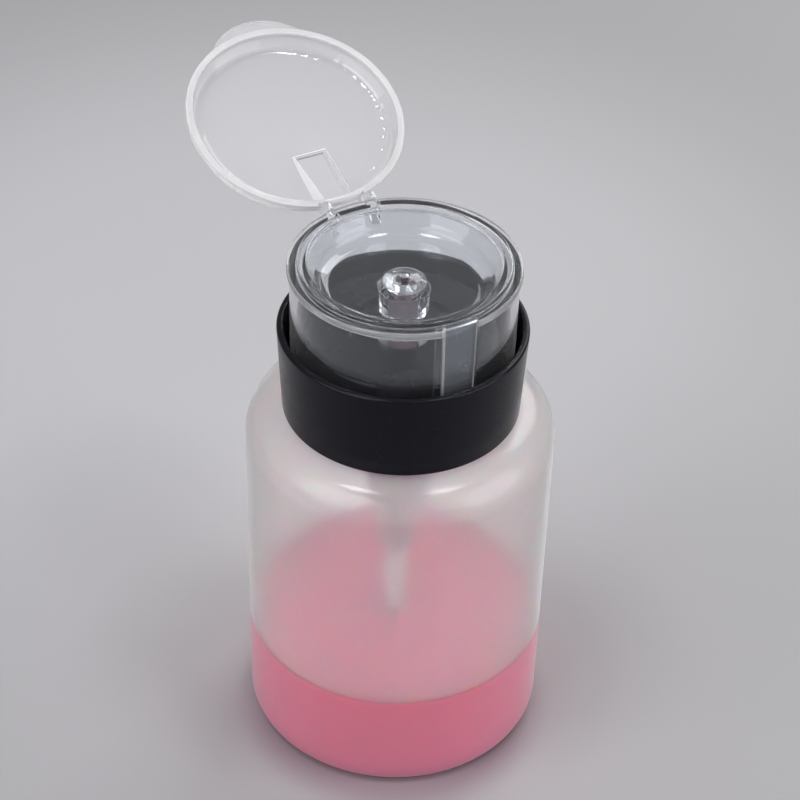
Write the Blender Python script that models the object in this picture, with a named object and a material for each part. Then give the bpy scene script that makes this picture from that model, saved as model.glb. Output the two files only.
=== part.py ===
"""Push-down pump bottle for nail polish remover, with a dish head and a flip lid.

Every size is in millimetres, and the scene is in metres. The bottle stands on z = 0 with its axis on Z.
The lid's hinge is at the back, at +Y, and the thumb recess at the front, at -Y. The lid is open at rest.
"""

import math

import bmesh
import bpy
import numpy as np
from mathutils import Vector

MM = 0.001

# Clearances
FIT = 0.3  # between pieces that sit on or in each other
SLIDE_FIT = 0.9  # between the skirt and the collar that it slides in
STOP_GAP = 0.8  # left under the skirt when the head is fully pressed
OVERLAP = 0.4  # how far a joined shape reaches into the wall that carries it
THROUGH = 1.0  # how far a cutting tool reaches past the piece
AXIS_MARK = 5.0  # size of the mark on each joint's axis

# Facets
WIDE_SEGMENTS = 48
NARROW_SEGMENTS = 24
CORNER_STEPS = 3
SHOULDER_STEPS = 5
TAB_STEPS = 14
HOLE_SEGMENTS = 8
PIN_SEGMENTS = 12
KNUCKLE_SEGMENTS = 16

# Bottle
BODY_R = 33.0
BODY_WALL = 1.2
BODY_STRAIGHT_TOP = 74.2
BASE_THICKNESS = 1.8
BASE_CORNER_R = 3.0
BASE_PAD_R = 13.0
BASE_GROOVE_DEPTH = 0.8
BASE_FOOT_WIDTH = 4.0
BASE_GROOVE_SLOPE = 1.2
SHOULDER_R = 9.0
NECK_WALL = 1.5
NECK_HEIGHT = 13.8
NECK_CHAMFER = 0.3

# Thread between the neck and the screw closure
THREAD_PITCH = 4.0
THREAD_TURNS = 1.5
THREAD_DEPTH = 1.3
THREAD_ROOT_WIDTH = 1.8
THREAD_CREST_WIDTH = 0.8
THREAD_START = 4.3  # above the shoulder, on the neck
THREAD_CLEARANCE = 0.5  # between each crest and the wall that it faces

# Contents
LIQUID_LEVEL = 25.2

# Pump flange stack
GASKET_THICKNESS = 1.0
GASKET_WIDTH = 4.0
FLANGE_THICKNESS = 1.6
FLANGE_OVERHANG = 0.6  # past the neck

# Screw closure
CLOSURE_WALL = 1.6
CLOSURE_DECK = 2.0
CLOSURE_HOLE_R = 11.0
CLOSURE_FOOT_WIDTH = 1.2
CLOSURE_FOOT_HEIGHT = 1.3
CLOSURE_CHAMFER = 0.4

# Collar
COLLAR_HEIGHT = 20.0
COLLAR_DRAFT = 1.0  # how much narrower the foot is than the top
COLLAR_WALL = 1.5
COLLAR_FOOT_WALL = 1.2
COLLAR_WEB = 1.5
COLLAR_EDGE_R = 0.4
COLLAR_GAP = 0.5  # above the bottle's shoulder

# Pump housing
CHAMBER_R = 5.8
HOUSING_WALL = 1.2
GUIDE_LEDGE = 1.4  # how much wider the guide's bore is than the chamber
GUIDE_BORE_DEPTH = 5.9
HOUSING_STEP = 1.5
CHAMBER_LENGTH = 36.8
TAPER_LENGTH = 9.2
TAPER_STEP = 0.5  # from the socket's outside to the taper's end
INLET_R = 1.5
INLET_SEAT_HEIGHT = 1.6
INLET_LENGTH = 1.0
SOCKET_DEPTH = 3.8
SOCKET_WALL = 1.0

# Dip tube
TUBE_R = 2.4
TUBE_WALL = 0.8
TUBE_END = 5.0

# Check valve balls
INLET_BALL_R = 2.38
INLET_BALL_LIFT = 1.2
OUTLET_BALL_R = 1.59
OUTLET_BALL_LIFT = 1.0
BALL_SEAT_GAP = 0.1
BALL_SIDE_GAP = 0.4

# Spring seat
SEAT_THICKNESS = 1.2
SEAT_PILOT_HEIGHT = 1.2
SEAT_STOP_R = 1.1
SEAT_HOLE_R = 0.5
SEAT_HOLES = 4

# Return spring
SPRING_WIRE_R = 0.45
SPRING_SIDE_GAP = 0.95  # between the coil and the chamber's wall
SPRING_TURNS = 9
SPRING_POINTS_PER_TURN = 10
SPRING_END_TURNS = 1.0
SPRING_END_PITCH = 1.45

# Stem, piston and retainer
STEM_R = 3.0
STEM_BORE_R = 1.8
STEM_SHOULDER_SIDE_GAP = 0.6  # between the stem's shoulder and the chamber's wall
STEM_SHOULDER_HEIGHT = 1.2
PISTON_HEIGHT = 6.8
PISTON_WALL = 1.3
PISTON_LIP_HEIGHT = 1.3
RETAINER_SIDE_GAP = 0.8  # between the retainer and the chamber's wall
RETAINER_THICKNESS = 1.2
RETAINER_PILOT_HEIGHT = 1.4
RETAINER_PLUG_LENGTH = 3.0
RETAINER_HOLE_R = 0.8
PILOT_FIT = 0.6  # between a pilot and the inside of the spring
OUTLET_SEAT_HEIGHT = 1.2
OUTLET_SEAT_R = 1.1
OUTLET_ROOM_DEPTH = 5.7
OUTLET_SEAT_LAND = 0.8

# Stem guide and wiper
GUIDE_FLANGE = 1.1
GUIDE_FLOOR = 2.9
GUIDE_WALL = 1.3
WIPER_THICKNESS = 0.8

# Press head
PRESS_TRAVEL = 8.0
DECK_GAP = 2.0  # left between the dish and the closure when the head is fully pressed
DISH_FLOOR = 1.2
DISH_SLOPE_WIDTH = 4.1  # from the floor's edge to the raised ring
DISH_RISE = 5.9  # from the floor to the top of the raised ring
DISH_BEND_SHARE = 0.2  # of the rise, at the middle of the slope
DISH_STEEP_SHARE = 0.6  # of the rise, where the slope turns steep
DISH_HOLE_R = 2.1
RING_WIDTH = 2.0
RING_HEIGHT = 0.85
LIP_LEDGE = 2.1  # from the raised ring to the lip's edge
LIP_R = 24.0
LIP_THICKNESS = 1.5
LIP_EDGE = 0.3
SKIRT_WALL = 1.3
SKIRT_DRAFT = 0.15
LIP_OVERHANG = 0.55  # past the skirt
SKIRT_ROOM = 2.0  # between the skirt's foot and the screw closure
SOCKET_CUP_GAP = 0.4  # between the head's socket and the guide's cup

# Thumb recess in the front of the head
RECESS_TOP_WIDTH = 7.8
RECESS_FOOT_WIDTH = 7.1
RECESS_DEPTH = 1.0
RECESS_BACKING = 1.5

# Nozzle in the middle of the dish
NOZZLE_R = 4.6
NOZZLE_EDGE = 0.5
NOZZLE_DOME = 1.2
NOZZLE_HOLE_R = 0.7

# Lid and hinge
HINGE_UP = 0.0  # from the lip's underside to the hinge axis
OPEN_ANGLE = 157.0
LID_SET_BACK = 0.15  # from the lip's edge to the lid's rim
LID_WALL = 1.1
LID_RIM_WIDTH = 1.6  # of the rim's flat foot
LID_HEIGHT = 4.8
LID_PLATE = 1.2
LID_TAPER = 1.6  # from the rim's foot to the plate's edge
LID_CORNER = 2.6  # from the plate's edge to the flat inside
LID_RIM_HEIGHT = 1.1
TAB_REACH = 2.7
TAB_HALF_WIDTH = 11.0
TAB_THICKNESS = 1.2
STUB_R = 1.2
KNUCKLE_R = 1.5
KNUCKLE_WIDTH = 7.4
LUG_EYE_WALL = 0.4
LUG_THICKNESS = 2.0
LUG_ROOT_DEPTH = 4.8
LUG_LOW_ANGLE = -50.0  # where the eye's outside meets the gusset
LUG_SIDE_GAP = 0.4  # between a lug and the knuckle
HEEL_LENGTH = 1.9
HEEL_THICKNESS = 1.1
CHANNEL_WIDTH = 6.6
CHANNEL_WALL = 0.8
CHANNEL_FLOOR = 1.0
CHANNEL_START = 18.0  # from the hinge axis to the shallow end
CHANNEL_SHALLOW = 1.1
CHANNEL_SIDE_GAP = 0.6  # to the gap in the raised ring

# Radii that follow from the dish's lip, from the skirt in to the neck and out to the collar
skirt_r = LIP_R - LIP_OVERHANG
skirt_foot_r = skirt_r - SKIRT_DRAFT
closure_r = skirt_foot_r - SKIRT_WALL - SKIRT_ROOM
closure_bore_r = closure_r - CLOSURE_WALL
neck_r = closure_bore_r - THREAD_CLEARANCE - THREAD_DEPTH
neck_bore_r = neck_r - NECK_WALL
flange_r = neck_r + FLANGE_OVERHANG
collar_in_r = skirt_r + FIT + SLIDE_FIT
collar_r = collar_in_r + COLLAR_WALL
ring_r = LIP_R - LIP_LEDGE
ring_in_r = ring_r - RING_WIDTH
dish_floor_r = ring_in_r - DISH_SLOPE_WIDTH

# Heights of the bottle, the closure and the collar
shoulder_z = BODY_STRAIGHT_TOP + SHOULDER_R
neck_top_z = shoulder_z + NECK_HEIGHT
gasket_z = neck_top_z + FIT
flange_z = gasket_z + GASKET_THICKNESS + FIT
flange_top_z = flange_z + FLANGE_THICKNESS
deck_under_z = flange_top_z + FIT
deck_top_z = deck_under_z + CLOSURE_DECK
closure_foot_z = shoulder_z + FIT
closure_foot_top_z = closure_foot_z + CLOSURE_FOOT_HEIGHT
web_z = closure_foot_top_z + FIT
web_top_z = web_z + COLLAR_WEB
collar_z = shoulder_z + COLLAR_GAP
collar_top_z = collar_z + COLLAR_HEIGHT

# Heights and radii of the pump housing, from its flange down
guide_ledge_z = flange_top_z - GUIDE_BORE_DEPTH
chamber_floor_z = guide_ledge_z - CHAMBER_LENGTH
taper_end_z = chamber_floor_z + OVERLAP - TAPER_LENGTH
inlet_seat_z = taper_end_z - OVERLAP
inlet_z = inlet_seat_z - INLET_LENGTH
tube_top_z = inlet_z - FIT
socket_end_z = tube_top_z - SOCKET_DEPTH
socket_r = TUBE_R + FIT
socket_out_r = socket_r + SOCKET_WALL
taper_end_r = socket_out_r + TAPER_STEP
housing_r = CHAMBER_R + HOUSING_WALL
guide_bore_r = CHAMBER_R + GUIDE_LEDGE
guide_housing_r = guide_bore_r + HOUSING_WALL
inlet_room_r = INLET_BALL_R + BALL_SIDE_GAP
outlet_room_r = OUTLET_BALL_R + BALL_SIDE_GAP

# Stem guide, wiper, stem, piston and retainer, from the guide down
guide_z = guide_ledge_z + FIT
guide_top_z = flange_top_z + FIT + GUIDE_FLANGE
guide_cup_z = guide_z + GUIDE_FLOOR
wiper_z = guide_cup_z + FIT
wiper_top_z = wiper_z + WIPER_THICKNESS
stem_shoulder_top_z = guide_z - FIT
stem_shoulder_z = stem_shoulder_top_z - STEM_SHOULDER_HEIGHT
piston_top_z = stem_shoulder_z - FIT
piston_z = piston_top_z - PISTON_HEIGHT
stem_z = piston_z
retainer_top_z = stem_z - FIT
retainer_z = retainer_top_z - RETAINER_THICKNESS
guide_r = guide_bore_r - FIT
guide_cup_r = guide_r - GUIDE_WALL
stem_sleeve_r = STEM_R + FIT
stem_shoulder_r = CHAMBER_R - STEM_SHOULDER_SIDE_GAP
piston_waist_r = stem_sleeve_r + PISTON_WALL
retainer_r = CHAMBER_R - RETAINER_SIDE_GAP

# Spring seat and return spring, from the chamber's floor up
seat_z = chamber_floor_z + FIT
seat_top_z = seat_z + SEAT_THICKNESS
spring_low_z = seat_top_z + FIT + SPRING_WIRE_R
spring_high_z = retainer_z - FIT - SPRING_WIRE_R
spring_r = CHAMBER_R - SPRING_SIDE_GAP - SPRING_WIRE_R
pilot_r = spring_r - SPRING_WIRE_R - PILOT_FIT

# Press head, from the pressed position up
dish_under_z = deck_top_z + DECK_GAP + PRESS_TRAVEL
dish_floor_z = dish_under_z + DISH_FLOOR
ring_top_z = dish_floor_z + DISH_RISE
lip_top_z = ring_top_z - RING_HEIGHT
lip_z = lip_top_z - LIP_THICKNESS
skirt_foot_z = web_top_z + STOP_GAP + PRESS_TRAVEL
head_socket_z = wiper_top_z + FIT + PRESS_TRAVEL
head_socket_r = guide_cup_r - SOCKET_CUP_GAP
stem_top_z = dish_under_z - FIT

# Hinge and lid
hinge_y = LIP_R + FIT + KNUCKLE_R
hinge_z = lip_z + HINGE_UP
lid_rim_z = lip_top_z + FIT
lid_r = LIP_R - LID_SET_BACK
lid_top_r = lid_r - LID_TAPER
lid_floor_r = lid_top_r - LID_CORNER
lid_back_y = lid_r - hinge_y - LID_WALL
lug_gap = KNUCKLE_WIDTH / 2 + LUG_SIDE_GAP
eye_r = STUB_R + FIT
lug_r = eye_r + LUG_EYE_WALL


def clear_scene():
    """Removes every object of the scene."""
    for obj in list(bpy.data.objects):
        bpy.data.objects.remove(obj, do_unlink=True)


def material(name, colour, roughness, metallic=0.0, alpha=1.0):
    """A Principled material."""
    made = bpy.data.materials.new(name)
    made.use_nodes = True
    shader = made.node_tree.nodes["Principled BSDF"]
    shader.inputs["Base Color"].default_value = (*colour, 1.0)
    shader.inputs["Roughness"].default_value = roughness
    shader.inputs["Metallic"].default_value = metallic
    shader.inputs["Alpha"].default_value = alpha
    made.diffuse_color = (*colour, alpha)
    return made


def add_object(name, bm, finish=None):
    """Puts a bmesh in the scene as an object, shaded smooth with its edges kept."""
    bmesh.ops.recalc_face_normals(bm, faces=bm.faces)
    mesh = bpy.data.meshes.new(name)
    bm.to_mesh(mesh)
    bm.free()
    mesh.shade_smooth()
    mesh.set_sharp_from_angle(angle=math.radians(30))
    obj = bpy.data.objects.new(name, mesh)
    bpy.context.scene.collection.objects.link(obj)
    if finish:
        mesh.materials.append(finish)
    return obj


def turned_bmesh(profile, segments, centre_y=0.0):
    """A profile of (radius, height) points turned round Z. It ends on the axis, or closes on itself."""
    bm = bmesh.new()
    points = [bm.verts.new((r * MM, 0.0, z * MM)) for r, z in profile]
    edges = [bm.edges.new(pair) for pair in zip(points, points[1:])]
    if profile[0][0] > 0:
        edges.append(bm.edges.new((points[-1], points[0])))
    bmesh.ops.spin(
        bm,
        geom=points + edges,
        cent=(0, 0, 0),
        axis=(0, 0, 1),
        dvec=(0, 0, 0),
        angle=math.tau,
        steps=segments,
        use_merge=True,
    )
    bmesh.ops.remove_doubles(bm, verts=bm.verts, dist=1e-6)
    bmesh.ops.translate(bm, verts=bm.verts, vec=(0, centre_y * MM, 0))
    return bm


def turned(name, profile, finish, segments=NARROW_SEGMENTS, centre_y=0.0):
    """A turned piece as an object."""
    return add_object(name, turned_bmesh(profile, segments, centre_y), finish)


def prism(name, outline, low_x, high_x):
    """An outline of (y, z) points drawn along X, as a tool for a Boolean."""
    bm = bmesh.new()
    points = [bm.verts.new((low_x * MM, y * MM, z * MM)) for y, z in outline]
    face = bm.faces.new(points)
    made = bmesh.ops.extrude_face_region(bm, geom=[face])
    moved = [item for item in made["geom"] if isinstance(item, bmesh.types.BMVert)]
    bmesh.ops.translate(bm, verts=moved, vec=((high_x - low_x) * MM, 0, 0))
    return as_tool(add_object(name, bm))


def plate(name, outline, low_z, high_z):
    """An outline of (x, y) points drawn along Z, as a tool for a Boolean."""
    bm = bmesh.new()
    points = [bm.verts.new((x * MM, y * MM, low_z * MM)) for x, y in outline]
    face = bm.faces.new(points)
    made = bmesh.ops.extrude_face_region(bm, geom=[face])
    moved = [item for item in made["geom"] if isinstance(item, bmesh.types.BMVert)]
    bmesh.ops.translate(bm, verts=moved, vec=(0, 0, (high_z - low_z) * MM))
    return as_tool(add_object(name, bm))


def as_tool(obj):
    """Marks an object as a Boolean's tool, which isn't a piece of its own."""
    obj.hide_render = True
    obj.display_type = "WIRE"
    return obj


def combine(target, tool, operation):
    """Adds a Boolean of the tool to the target, in the target's own frame."""
    tool.parent = target
    modifier = target.modifiers.new(tool.name, "BOOLEAN")
    modifier.operation = operation
    modifier.object = tool


def arc(centre_r, centre_z, radius, start, end, steps):
    """Points on an arc in the (radius, height) plane, with the angles in degrees."""
    angles = np.radians(np.linspace(start, end, steps + 1))
    return [
        (float(centre_r + radius * math.cos(a)), float(centre_z + radius * math.sin(a)))
        for a in angles
    ]


def circle(centre, radius, count):
    """Points round a circle in any plane."""
    return [
        (float(centre[0] + radius * math.cos(a)), float(centre[1] + radius * math.sin(a)))
        for a in np.linspace(0, math.tau, count, endpoint=False)
    ]


def thread_tool(name, root_r, crest_r, start_z):
    """A screw thread: a trapezium carried round a right-handed helix, with closed ends."""
    steps = int(THREAD_TURNS * WIDE_SEGMENTS)
    half_root = THREAD_ROOT_WIDTH / 2
    half_crest = THREAD_CREST_WIDTH / 2
    section = [
        (root_r, -half_root),
        (crest_r, -half_crest),
        (crest_r, half_crest),
        (root_r, half_root),
    ]
    bm = bmesh.new()
    rings = []
    for step in range(steps + 1):
        angle = math.tau * step / WIDE_SEGMENTS
        rise = start_z + THREAD_PITCH * step / WIDE_SEGMENTS
        rings.append(
            [
                bm.verts.new((r * math.cos(angle) * MM, r * math.sin(angle) * MM, (rise + dz) * MM))
                for r, dz in section
            ]
        )
    count = len(section)
    for low, high in zip(rings, rings[1:]):
        for i in range(count):
            j = (i + 1) % count
            bm.faces.new((low[i], low[j], high[j], high[i]))
    bm.faces.new(rings[0])
    bm.faces.new(rings[-1])
    return as_tool(add_object(name, bm))


def seated_ball_z(seat_z_low, seat_r_low, seat_r_high, seat_height, ball_r):
    """The height of the centre of a ball that lies just clear of a conical seat."""
    slope = math.atan2(seat_r_high - seat_r_low, seat_height)
    reach = ball_r + BALL_SEAT_GAP
    return seat_z_low + (reach - seat_r_low * math.cos(slope)) / math.sin(slope)


def ball(name, radius, centre_z, finish):
    """A valve ball on the axis."""
    bm = bmesh.new()
    bmesh.ops.create_icosphere(bm, subdivisions=3, radius=radius * MM)
    obj = add_object(name, bm, finish)
    obj.location.z = centre_z * MM
    return obj


inlet_ball_z = seated_ball_z(
    inlet_seat_z, INLET_R, inlet_room_r, INLET_SEAT_HEIGHT, INLET_BALL_R
)
outlet_seat_z = stem_top_z - OUTLET_ROOM_DEPTH - OUTLET_SEAT_HEIGHT
outlet_ball_z = seated_ball_z(
    outlet_seat_z, OUTLET_SEAT_R, outlet_room_r, OUTLET_SEAT_HEIGHT, OUTLET_BALL_R
)


def make_bottle(finish):
    """The blown bottle: base, wall, shoulder and threaded neck, open at the top."""
    foot_out = BODY_R - BASE_CORNER_R
    foot_in = foot_out - BASE_FOOT_WIDTH
    inner_r = BODY_R - BODY_WALL
    inner_corner = BASE_CORNER_R - BODY_WALL / 2
    inner_shoulder = SHOULDER_R - BODY_WALL
    profile = [
        (0.0, 0.0),
        (BASE_PAD_R, 0.0),
        (BASE_PAD_R + BASE_GROOVE_SLOPE, BASE_GROOVE_DEPTH),
        (foot_in - BASE_GROOVE_SLOPE, BASE_GROOVE_DEPTH),
        (foot_in, 0.0),
    ]
    profile += arc(foot_out, BASE_CORNER_R, BASE_CORNER_R, -90, 0, CORNER_STEPS)
    profile += arc(BODY_R - SHOULDER_R, BODY_STRAIGHT_TOP, SHOULDER_R, 0, 90, SHOULDER_STEPS)
    profile += [
        (neck_r + NECK_WALL / 2, shoulder_z),
        (neck_r, shoulder_z + NECK_WALL / 2),
        (neck_r, neck_top_z - NECK_CHAMFER),
        (neck_r - NECK_CHAMFER, neck_top_z),
        (neck_bore_r + NECK_CHAMFER, neck_top_z),
        (neck_bore_r, neck_top_z - NECK_CHAMFER),
        (neck_bore_r, shoulder_z),
        (neck_bore_r + NECK_WALL, shoulder_z - BODY_WALL),
    ]
    profile += arc(BODY_R - SHOULDER_R, BODY_STRAIGHT_TOP, inner_shoulder, 90, 0, SHOULDER_STEPS)
    profile += arc(
        inner_r - inner_corner, BASE_THICKNESS + inner_corner, inner_corner, 0, -90, CORNER_STEPS
    )
    profile += [(0.0, BASE_THICKNESS)]
    bottle = turned("bottle", profile, finish, WIDE_SEGMENTS)
    thread = thread_tool(
        "neck_thread", neck_r - OVERLAP, neck_r + THREAD_DEPTH, shoulder_z + THREAD_START
    )
    combine(bottle, thread, "UNION")
    return bottle


def make_liquid(finish):
    """The remover: a fill that follows the inside of the bottle, with room for the dip tube."""
    outer_r = BODY_R - BODY_WALL - FIT
    low_z = BASE_THICKNESS + FIT
    corner = BASE_CORNER_R - BODY_WALL / 2
    room_r = TUBE_R + FIT
    profile = [(0.0, low_z)]
    profile += arc(outer_r - corner, low_z + corner, corner, -90, 0, CORNER_STEPS)
    profile += [
        (outer_r, LIQUID_LEVEL),
        (room_r, LIQUID_LEVEL),
        (room_r, TUBE_END - FIT),
        (0.0, TUBE_END - FIT),
    ]
    return turned("remover_liquid", profile, finish, WIDE_SEGMENTS)


def make_gasket(finish):
    """The washer between the neck and the pump's flange."""
    outer_r = neck_r + FIT
    top_z = gasket_z + GASKET_THICKNESS
    profile = [
        (outer_r - GASKET_WIDTH, gasket_z),
        (outer_r, gasket_z),
        (outer_r, top_z),
        (outer_r - GASKET_WIDTH, top_z),
    ]
    return turned("neck_gasket", profile, finish, WIDE_SEGMENTS)


def make_screw_closure(finish):
    """The threaded inner cap, with a deck that clamps the pump's flange and a foot under the collar."""
    foot_r = closure_r + CLOSURE_FOOT_WIDTH
    profile = [
        (closure_bore_r, closure_foot_z),
        (foot_r, closure_foot_z),
        (foot_r, closure_foot_top_z),
        (closure_r, closure_foot_top_z),
        (closure_r, deck_top_z - CLOSURE_CHAMFER),
        (closure_r - CLOSURE_CHAMFER, deck_top_z),
        (CLOSURE_HOLE_R, deck_top_z),
        (CLOSURE_HOLE_R, deck_under_z),
        (closure_bore_r, deck_under_z),
    ]
    closure = turned("screw_closure", profile, finish, WIDE_SEGMENTS)
    thread = thread_tool(
        "closure_thread",
        closure_bore_r + OVERLAP,
        closure_bore_r - THREAD_DEPTH,
        shoulder_z + THREAD_START - THREAD_PITCH / 2,
    )
    combine(closure, thread, "UNION")
    return closure


def make_collar(finish):
    """The plain shroud: a drafted wall on a web that sits on the closure's foot."""
    foot_r = collar_r - COLLAR_DRAFT
    inner_web_r = collar_in_r - SLIDE_FIT
    inner_foot_r = foot_r - COLLAR_FOOT_WALL
    bore_r = closure_r + FIT
    edge = COLLAR_EDGE_R
    profile = [(inner_foot_r, collar_z), (foot_r - edge, collar_z), (foot_r, collar_z + edge)]
    profile += arc(collar_r - edge, collar_top_z - edge, edge, 0, 90, CORNER_STEPS)
    profile += arc(collar_in_r + edge, collar_top_z - edge, edge, 90, 180, CORNER_STEPS)
    profile += [
        (inner_web_r, web_top_z),
        (bore_r, web_top_z),
        (bore_r, web_z),
        (inner_foot_r, web_z),
    ]
    return turned("collar", profile, finish, WIDE_SEGMENTS)


def make_pump_housing(finish):
    """The pump cylinder: flange, guide bore, chamber, taper, ball seat and dip tube socket."""
    profile = [
        (guide_bore_r, flange_top_z),
        (guide_bore_r, guide_ledge_z),
        (CHAMBER_R, guide_ledge_z),
        (CHAMBER_R, chamber_floor_z),
        (inlet_room_r, chamber_floor_z),
        (inlet_room_r, inlet_seat_z + INLET_SEAT_HEIGHT),
        (INLET_R, inlet_seat_z),
        (INLET_R, inlet_z),
        (socket_r, inlet_z),
        (socket_r, socket_end_z),
        (socket_out_r, socket_end_z),
        (socket_out_r, taper_end_z - OVERLAP),
        (taper_end_r, taper_end_z),
        (housing_r, taper_end_z + TAPER_LENGTH),
        (housing_r, guide_ledge_z - HOUSING_WALL - HOUSING_STEP),
        (guide_housing_r, guide_ledge_z - HOUSING_WALL),
        (guide_housing_r, flange_z),
        (flange_r, flange_z),
        (flange_r, flange_top_z),
    ]
    return turned("pump_housing", profile, finish, WIDE_SEGMENTS // 3 * 2)


def make_dip_tube(finish):
    """The suction tube, pushed into the housing's socket."""
    bore = TUBE_R - TUBE_WALL
    profile = [(bore, TUBE_END), (TUBE_R, TUBE_END), (TUBE_R, tube_top_z), (bore, tube_top_z)]
    return turned("dip_tube", profile, finish)


def make_spring_seat(finish):
    """The disc on the chamber's floor: it stops the inlet ball, passes the liquid and centres the spring."""
    stop_z = inlet_ball_z + INLET_BALL_R + INLET_BALL_LIFT + BALL_SEAT_GAP
    pilot_top_z = seat_top_z + SEAT_PILOT_HEIGHT
    profile = [
        (0.0, stop_z),
        (SEAT_STOP_R, stop_z),
        (SEAT_STOP_R, seat_z),
        (CHAMBER_R - FIT, seat_z),
        (CHAMBER_R - FIT, seat_top_z),
        (pilot_r, seat_top_z),
        (pilot_r, pilot_top_z),
        (0.0, pilot_top_z),
    ]
    seat = turned("spring_seat", profile, finish)
    half_facet = math.pi / NARROW_SEGMENTS
    hole_ring_r = (SEAT_STOP_R + inlet_room_r) / 2
    for index in range(SEAT_HOLES):
        angle = math.tau * index / SEAT_HOLES + half_facet
        centre = (hole_ring_r * math.cos(angle), hole_ring_r * math.sin(angle))
        outline = circle(centre, SEAT_HOLE_R, HOLE_SEGMENTS)
        hole = plate(f"seat_hole_{index}", outline, seat_z - THROUGH, pilot_top_z + THROUGH)
        combine(seat, hole, "DIFFERENCE")
    return seat


def spring_points():
    """The coil's centre line: a helix whose first and last turns lie closer."""
    turns = np.linspace(0, SPRING_TURNS, SPRING_TURNS * SPRING_POINTS_PER_TURN + 1)
    middle_turns = SPRING_TURNS - 2 * SPRING_END_TURNS
    rise = spring_high_z - spring_low_z
    middle_pitch = (rise - 2 * SPRING_END_TURNS * SPRING_END_PITCH) / middle_turns
    knots = [0, SPRING_END_TURNS, SPRING_TURNS - SPRING_END_TURNS, SPRING_TURNS]
    end_rise = SPRING_END_TURNS * SPRING_END_PITCH
    heights = [0, end_rise, end_rise + middle_turns * middle_pitch, rise]
    z = spring_low_z + np.interp(turns, knots, heights)
    return np.stack(
        [spring_r * np.cos(math.tau * turns), spring_r * np.sin(math.tau * turns), z], axis=1
    )


def least_gap(points, points_per_turn, wire_r):
    """The least gap between the wire and itself, over points more than half a turn apart."""
    apart = np.linalg.norm(points[:, None] - points[None], axis=2)
    index = np.arange(len(points))
    far = np.abs(index[:, None] - index[None]) > points_per_turn // 2
    return float(apart[far].min() - 2 * wire_r)


def make_return_spring(finish):
    """The steel coil between the spring seat and the piston retainer."""
    points = spring_points()
    print(f"return_spring: least gap {least_gap(points, SPRING_POINTS_PER_TURN, SPRING_WIRE_R):.2f} mm")
    curve = bpy.data.curves.new("return_spring", "CURVE")
    curve.dimensions = "3D"
    spline = curve.splines.new("POLY")
    spline.points.add(len(points) - 1)
    for target, (x, y, z) in zip(spline.points, points):
        target.co = (x * MM, y * MM, z * MM, 1.0)
    curve.bevel_depth = SPRING_WIRE_R * MM
    curve.bevel_resolution = 1
    curve.use_fill_caps = True
    curve.materials.append(finish)
    spring = bpy.data.objects.new("return_spring", curve)
    bpy.context.scene.collection.objects.link(spring)
    return spring


def make_piston(finish):
    """The soft piston: two sealing lips on a narrow waist, round the stem."""
    lip_r = CHAMBER_R - FIT
    profile = [
        (stem_sleeve_r, piston_z),
        (lip_r - PISTON_LIP_HEIGHT / 2, piston_z),
        (lip_r, piston_z + PISTON_LIP_HEIGHT / 2),
        (piston_waist_r, piston_z + 2 * PISTON_LIP_HEIGHT),
        (piston_waist_r, piston_top_z - 2 * PISTON_LIP_HEIGHT),
        (lip_r, piston_top_z - PISTON_LIP_HEIGHT / 2),
        (lip_r - PISTON_LIP_HEIGHT / 2, piston_top_z),
        (stem_sleeve_r, piston_top_z),
    ]
    return turned("piston", profile, finish)


def make_piston_retainer(finish):
    """The plug in the stem's foot: its flange holds the piston and takes the spring."""
    plug_r = STEM_BORE_R - FIT
    profile = [
        (RETAINER_HOLE_R, retainer_z - RETAINER_PILOT_HEIGHT),
        (pilot_r, retainer_z - RETAINER_PILOT_HEIGHT),
        (pilot_r, retainer_z),
        (retainer_r, retainer_z),
        (retainer_r, retainer_top_z),
        (plug_r, retainer_top_z),
        (plug_r, retainer_top_z + RETAINER_PLUG_LENGTH),
        (RETAINER_HOLE_R, retainer_top_z + RETAINER_PLUG_LENGTH),
    ]
    return turned("piston_retainer", profile, finish)


def make_stem(finish):
    """The hollow stem: a bore, a shoulder that stops under the guide and a ball seat at the top."""
    profile = [
        (STEM_BORE_R, stem_z),
        (STEM_R, stem_z),
        (STEM_R, stem_shoulder_z),
        (stem_shoulder_r, stem_shoulder_z),
        (stem_shoulder_r, stem_shoulder_top_z),
        (STEM_R, stem_shoulder_top_z),
        (STEM_R, stem_top_z),
        (outlet_room_r, stem_top_z),
        (outlet_room_r, outlet_seat_z + OUTLET_SEAT_HEIGHT),
        (OUTLET_SEAT_R, outlet_seat_z),
        (OUTLET_SEAT_R, outlet_seat_z - OUTLET_SEAT_LAND),
        (STEM_BORE_R, outlet_seat_z - OUTLET_SEAT_LAND),
    ]
    return turned("stem", profile, finish)


def make_stem_guide(finish):
    """The cap of the pump cylinder: a cup with a bore for the stem and a flange on the housing."""
    cap_r = CLOSURE_HOLE_R - FIT
    profile = [
        (stem_sleeve_r, guide_z),
        (guide_r, guide_z),
        (guide_r, flange_top_z + FIT),
        (cap_r, flange_top_z + FIT),
        (cap_r, guide_top_z),
        (guide_cup_r, guide_top_z),
        (guide_cup_r, guide_cup_z),
        (stem_sleeve_r, guide_cup_z),
    ]
    return turned("stem_guide", profile, finish)


def make_stem_wiper(finish):
    """The washer in the guide's cup that wipes the stem."""
    outer_r = guide_cup_r - FIT
    profile = [
        (stem_sleeve_r, wiper_z),
        (outer_r, wiper_z),
        (outer_r, wiper_top_z),
        (stem_sleeve_r, wiper_top_z),
    ]
    return turned("stem_wiper", profile, finish)


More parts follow.
